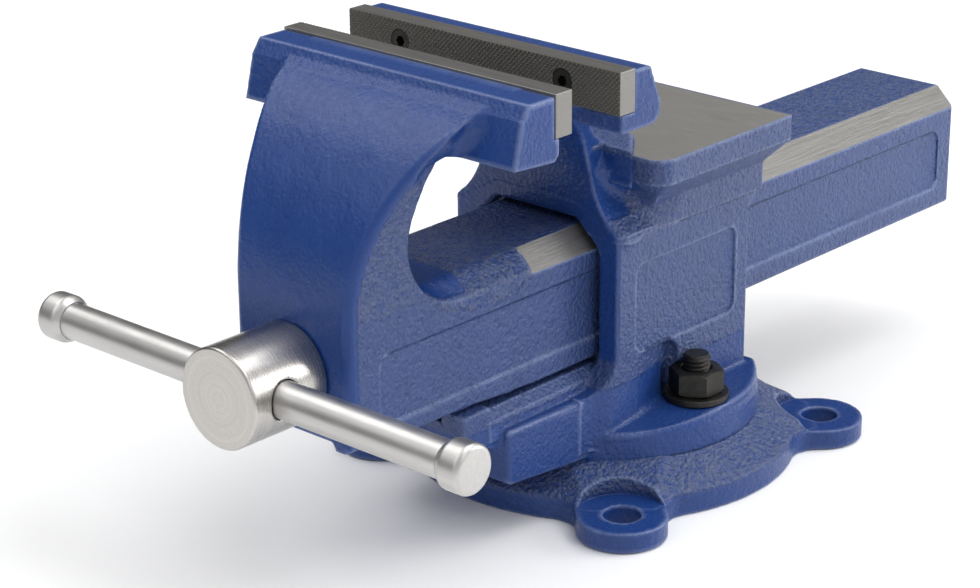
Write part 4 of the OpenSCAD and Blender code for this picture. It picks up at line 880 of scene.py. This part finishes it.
knob_along, knob_radius = knob_profile()
bar_along, bar_radius = [-BAR_HALF_LEN, -BAR_HALF_LEN, BAR_HALF_LEN, BAR_HALF_LEN], [0, BAR_R, BAR_R, 0]
tommy_bar = grid_piece("drawn_tommy_bar", [turned_grid(bar_along, bar_radius, "X", BAR_CENTRE)])
right_knob = grid_piece("turned_right_knob", [turned_grid(knob_along, knob_radius, "X", BAR_CENTRE)])
left_grid = turned_grid(-knob_along[::-1], knob_radius[::-1], "X", BAR_CENTRE)
left_knob = grid_piece("turned_left_knob", [left_grid])
for piece, node in ((tommy_bar, "tommy_bar"), (right_knob, "right_knob"), (left_knob, "left_knob")):
    piece.data.materials.append(HANDLE_STEEL)
    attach(piece, "handle")
    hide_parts(node)


# Swivel lock
# Two blackened steel bolts hang by square heads in the base's tee slot and rise through the body's ears.
# A washer and a hexagon nut on each clamp the body to the base.

STUD_R, STUD_TOP, WASHER_FOOT, NUT_FOOT = 6.2, 56.8, 36.5, 39.35


def stud_grid(x):
    """Threaded stud on a square head: STUD_R less a vee that climbs one pitch each turn, chamfered on top."""
    sides, pitch, vee_depth, head_half = 72, 2.0, 1.0, 10
    turn = np.arange(sides) / sides
    z = np.concatenate([np.arange(30, 55.6, 0.2), [56.0, 56.4, STUD_TOP]])
    share = z[:, None] / pitch - turn[None, :]
    vee = np.abs(2 * (share - np.floor(share)) - 1)
    radius = np.minimum(STUD_R - vee_depth * vee, 5.0 + (56.9 - z[:, None]))
    square = head_half / np.maximum(np.abs(np.cos(2 * np.pi * turn)), np.abs(np.sin(2 * np.pi * turn)))
    shank = np.full(sides, STUD_R)
    head = np.stack([np.zeros(sides), square - 0.5, square, square, square - 0.5, shank, shank])
    head_z = np.array([4.8, 4.8, 5.3, 11.2, 11.7, 11.7, 29.8])
    rows = np.concatenate([head, radius, np.zeros((1, sides))])
    return turned_grid(np.concatenate([head_z, z, [STUD_TOP]]), rows, "Z", (x, 0, 0), sides)


def nut_grid(x):
    """Hexagon nut 21 mm across flats: 30 degree chamfers meet the flats in arcs; countersunk bore."""
    sides, high, sink = 144, 11.0, 0.8
    bore_r, sink_r, face_r, half_flats = 6.25, 7.1, 10.1, 10.6
    turn = 2 * np.pi * np.arange(sides) / sides
    hexagon = half_flats / np.cos((turn + np.pi / 6) % (np.pi / 3) - np.pi / 6)
    drop = (hexagon - face_r) * math.tan(math.radians(30))
    radii = [bore_r, bore_r, sink_r, face_r, hexagon, hexagon, face_r, sink_r, bore_r]
    levels = [sink, high - sink, high, high, high - drop, drop, 0, 0, sink]
    radius, level = (np.stack([row * np.ones(sides) for row in rows]) for rows in (radii, levels))
    return turned_grid(NUT_FOOT + level, radius, "Z", (x, 0, 0), sides)


stud_x = (LOCK_CIRCLE_R, -LOCK_CIRCLE_R)
studs = grid_piece("black_lock_studs", [stud_grid(x) for x in stud_x])
washer_r = [6.5, 6.5, 14.2, 14.5, 14.5, 14.2, 6.5]
washer_z = [WASHER_FOOT, 39.3, 39.3, 39.0, 36.8, WASHER_FOOT, WASHER_FOOT]
washers = grid_piece("black_lock_washers", [turned_grid(washer_z, washer_r, "Z", (x, 0, 0)) for x in stud_x])
right_nut = grid_piece("black_right_nut", [nut_grid(LOCK_CIRCLE_R)])
left_nut = grid_piece("black_left_nut", [nut_grid(-LOCK_CIRCLE_R)])
for piece, node, carrier in ((studs, "lock_bolts", "body"), (washers, "lock_washers", "body"),
                             (right_nut, "right_lock_nut", "right_nut"),
                             (left_nut, "left_lock_nut", "left_nut")):
    piece.data.materials.append(BLACK_OXIDE)
    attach(piece, carrier)
    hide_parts(node)


# Quick release
# Inside the housing, screwed to its floor: a machined iron nut block that guides a bronze half nut. The
# friction ring and the thrust washer are of the same bronze. Their shapes are the CAD solids as they are.

TOOLED = (700.0, 700.0, 90.0)
BRONZE = plain_metal("bearing_bronze", (0.42, 0.27, 0.11), (0.60, 0.41, 0.19), 0.3, TOOLED)
for node in ("thrust_washer", "half_nut", "friction_ring"):
    dress(node, BRONZE)
dress("nut_block", plain_metal("machined_iron", (0.16, 0.16, 0.165), (0.28, 0.28, 0.285), 0.42, TOOLED))


# Nut springs
# Two springs of 1.6 mm steel wire stand on the nut block's floor and lift the half nut into the thread.
# They are held by the block's pocket alone, and shorten by the 4.2 mm that the nut drops.

SPRING_FOOT, SPRING_HIGH, WIRE_R, NUT_DROP = 58.3, 13.9, 0.8, 4.2


def spring_grid(y):
    """Coiled wire: a circle of radius WIRE_R is carried along a helix of four turns round (0, y)."""
    coil_r, turns, steps, sides = 5.0, 4, 256, 16
    share = np.concatenate([[0], np.linspace(0, 1, steps), [1]])[:, None]
    wire = WIRE_R * np.concatenate([[0], np.ones(steps), [0]])[:, None]
    turn = 2 * np.pi * turns * share
    side = -2 * np.pi * np.arange(sides) / sides
    radius = coil_r + wire * np.cos(side)
    z = SPRING_FOOT + WIRE_R + (SPRING_HIGH - 2 * WIRE_R) * share + wire * np.sin(side)
    return np.stack([radius * np.cos(turn), y + radius * np.sin(turn), z], -1)


springs = grid_piece("coiled_nut_springs", [spring_grid(-10.7), spring_grid(2.7)])
spring_wire = plain_metal("spring_wire", (0.28, 0.28, 0.29), (0.42, 0.42, 0.43), 0.28, TOOLED)
springs.data.materials.append(spring_wire)
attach(springs, "body")
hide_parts("nut_springs")
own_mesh(springs)


# Studio
# A pale seamless floor under five soft boxes: the strongest behind, the others in front, at the left and
# at the right. The white surround is dimmed on the low left side, which shades the faces turned there.

FLOOR_HALF, FLOOR_Z = 6.0, -0.0002
floor_mesh = bpy.data.meshes.new("studio_floor")
floor_corners = [(-FLOOR_HALF, -FLOOR_HALF, FLOOR_Z), (FLOOR_HALF, -FLOOR_HALF, FLOOR_Z),
                 (FLOOR_HALF, FLOOR_HALF, FLOOR_Z), (-FLOOR_HALF, FLOOR_HALF, FLOOR_Z)]
floor_mesh.from_pydata(floor_corners, [], [(0, 1, 2, 3)])
floor_piece = placed("studio_floor", floor_mesh)
pale, _, pale_shader, _ = new_material("pale_floor")
pale_shader.inputs["Base Color"].default_value = (0.96, 0.96, 0.96, 1.0)
pale_shader.inputs["Roughness"].default_value = 0.6
floor_mesh.materials.append(pale)


def soft_light(name, power, size, place, aim):
    """A square area light at place, turned to aim, in metres."""
    light = bpy.data.lights.new(name, "AREA")
    light.energy, light.shape, light.size = power, "SQUARE", size
    lamp = placed(name, light)
    away = np.array(place, float) - np.array(aim, float)
    flat = math.hypot(away[0], away[1])
    lamp.location = place
    lamp.rotation_euler = (math.atan2(flat, away[2]), 0.0, math.atan2(away[1], away[0]) + math.pi / 2)


soft_light("rear_softbox", 25.0, 1.6, (0.5, 0.55, 2.1), (0, 0, 0.1))
soft_light("front_softbox", 8.0, 1.6, (-0.6, -1.2, 1.7), (0, -0.05, 0.1))
soft_light("left_softbox", 7.0, 1.0, (-1.3, -0.2, 1.75), (0, -0.1, 0.1))
soft_light("right_softbox", 3.0, 0.8, (1.5, -0.1, 1.0), (0, 0, 0.1))
soft_light("side_softbox", 11.0, 0.7, (1.15, 1.22, 0.62), (0, 0, 0.1))
world = bpy.data.worlds.new("studio_surround")
world.use_nodes = True
sky = world.node_tree
toward = add(sky, "ShaderNodeVectorMath", operation="DOT_PRODUCT")
sky.links.new(sky.nodes.new("ShaderNodeTexCoord").outputs["Generated"], toward.inputs[0])
toward.inputs[1].default_value = (-0.7, 0.15, -0.7)
dark_side = add(sky, "ShaderNodeMapRange", interpolation_type="SMOOTHSTEP")
sky.links.new(toward.outputs["Value"], dark_side.inputs["Value"])
for socket, value in (("From Min", -0.12), ("From Max", 0.32), ("To Min", 0.66), ("To Max", 0.1)):
    dark_side.inputs[socket].default_value = value
sky.links.new(dark_side.outputs["Result"], sky.nodes["Background"].inputs["Strength"])
sky.nodes["Background"].inputs["Color"].default_value = (1.0, 1.0, 1.0, 1.0)
bpy.context.scene.world = world
bpy.context.scene.view_settings.view_transform = "Standard"


# Camera
# The view fitted to the photograph's straight edges: its angles in degrees, its place in metres, and its
# focal length in pixels of a picture 980 wide, which is 100.1 mm on a 36 mm sensor.

AZIMUTH, ELEVATION, ROLL = np.radians([42.28, 20.95, -0.36])
FOCAL_PX, PICTURE_PX, SENSOR_MM = 2725.43, 980.0, 36.0
camera_data = bpy.data.cameras.new("photo_camera")
camera_data.sensor_width, camera_data.lens = SENSOR_MM, FOCAL_PX * SENSOR_MM / PICTURE_PX
camera = placed("photo_camera", camera_data)
camera.location = (0.72943, -0.8770, 0.50723)
back = np.array([math.sin(AZIMUTH) * math.cos(ELEVATION), -math.cos(AZIMUTH) * math.cos(ELEVATION),
                 math.sin(ELEVATION)])
level_right = np.array([math.cos(AZIMUTH), math.sin(AZIMUTH), 0.0])
right = math.cos(ROLL) * level_right + math.sin(ROLL) * np.cross(back, level_right)
axes = np.stack([right, np.cross(back, right), back], 1)
camera.rotation_mode = "QUATERNION"
camera.rotation_quaternion = mathutils.Matrix(axes.tolist()).to_quaternion()
bpy.context.scene.camera = camera
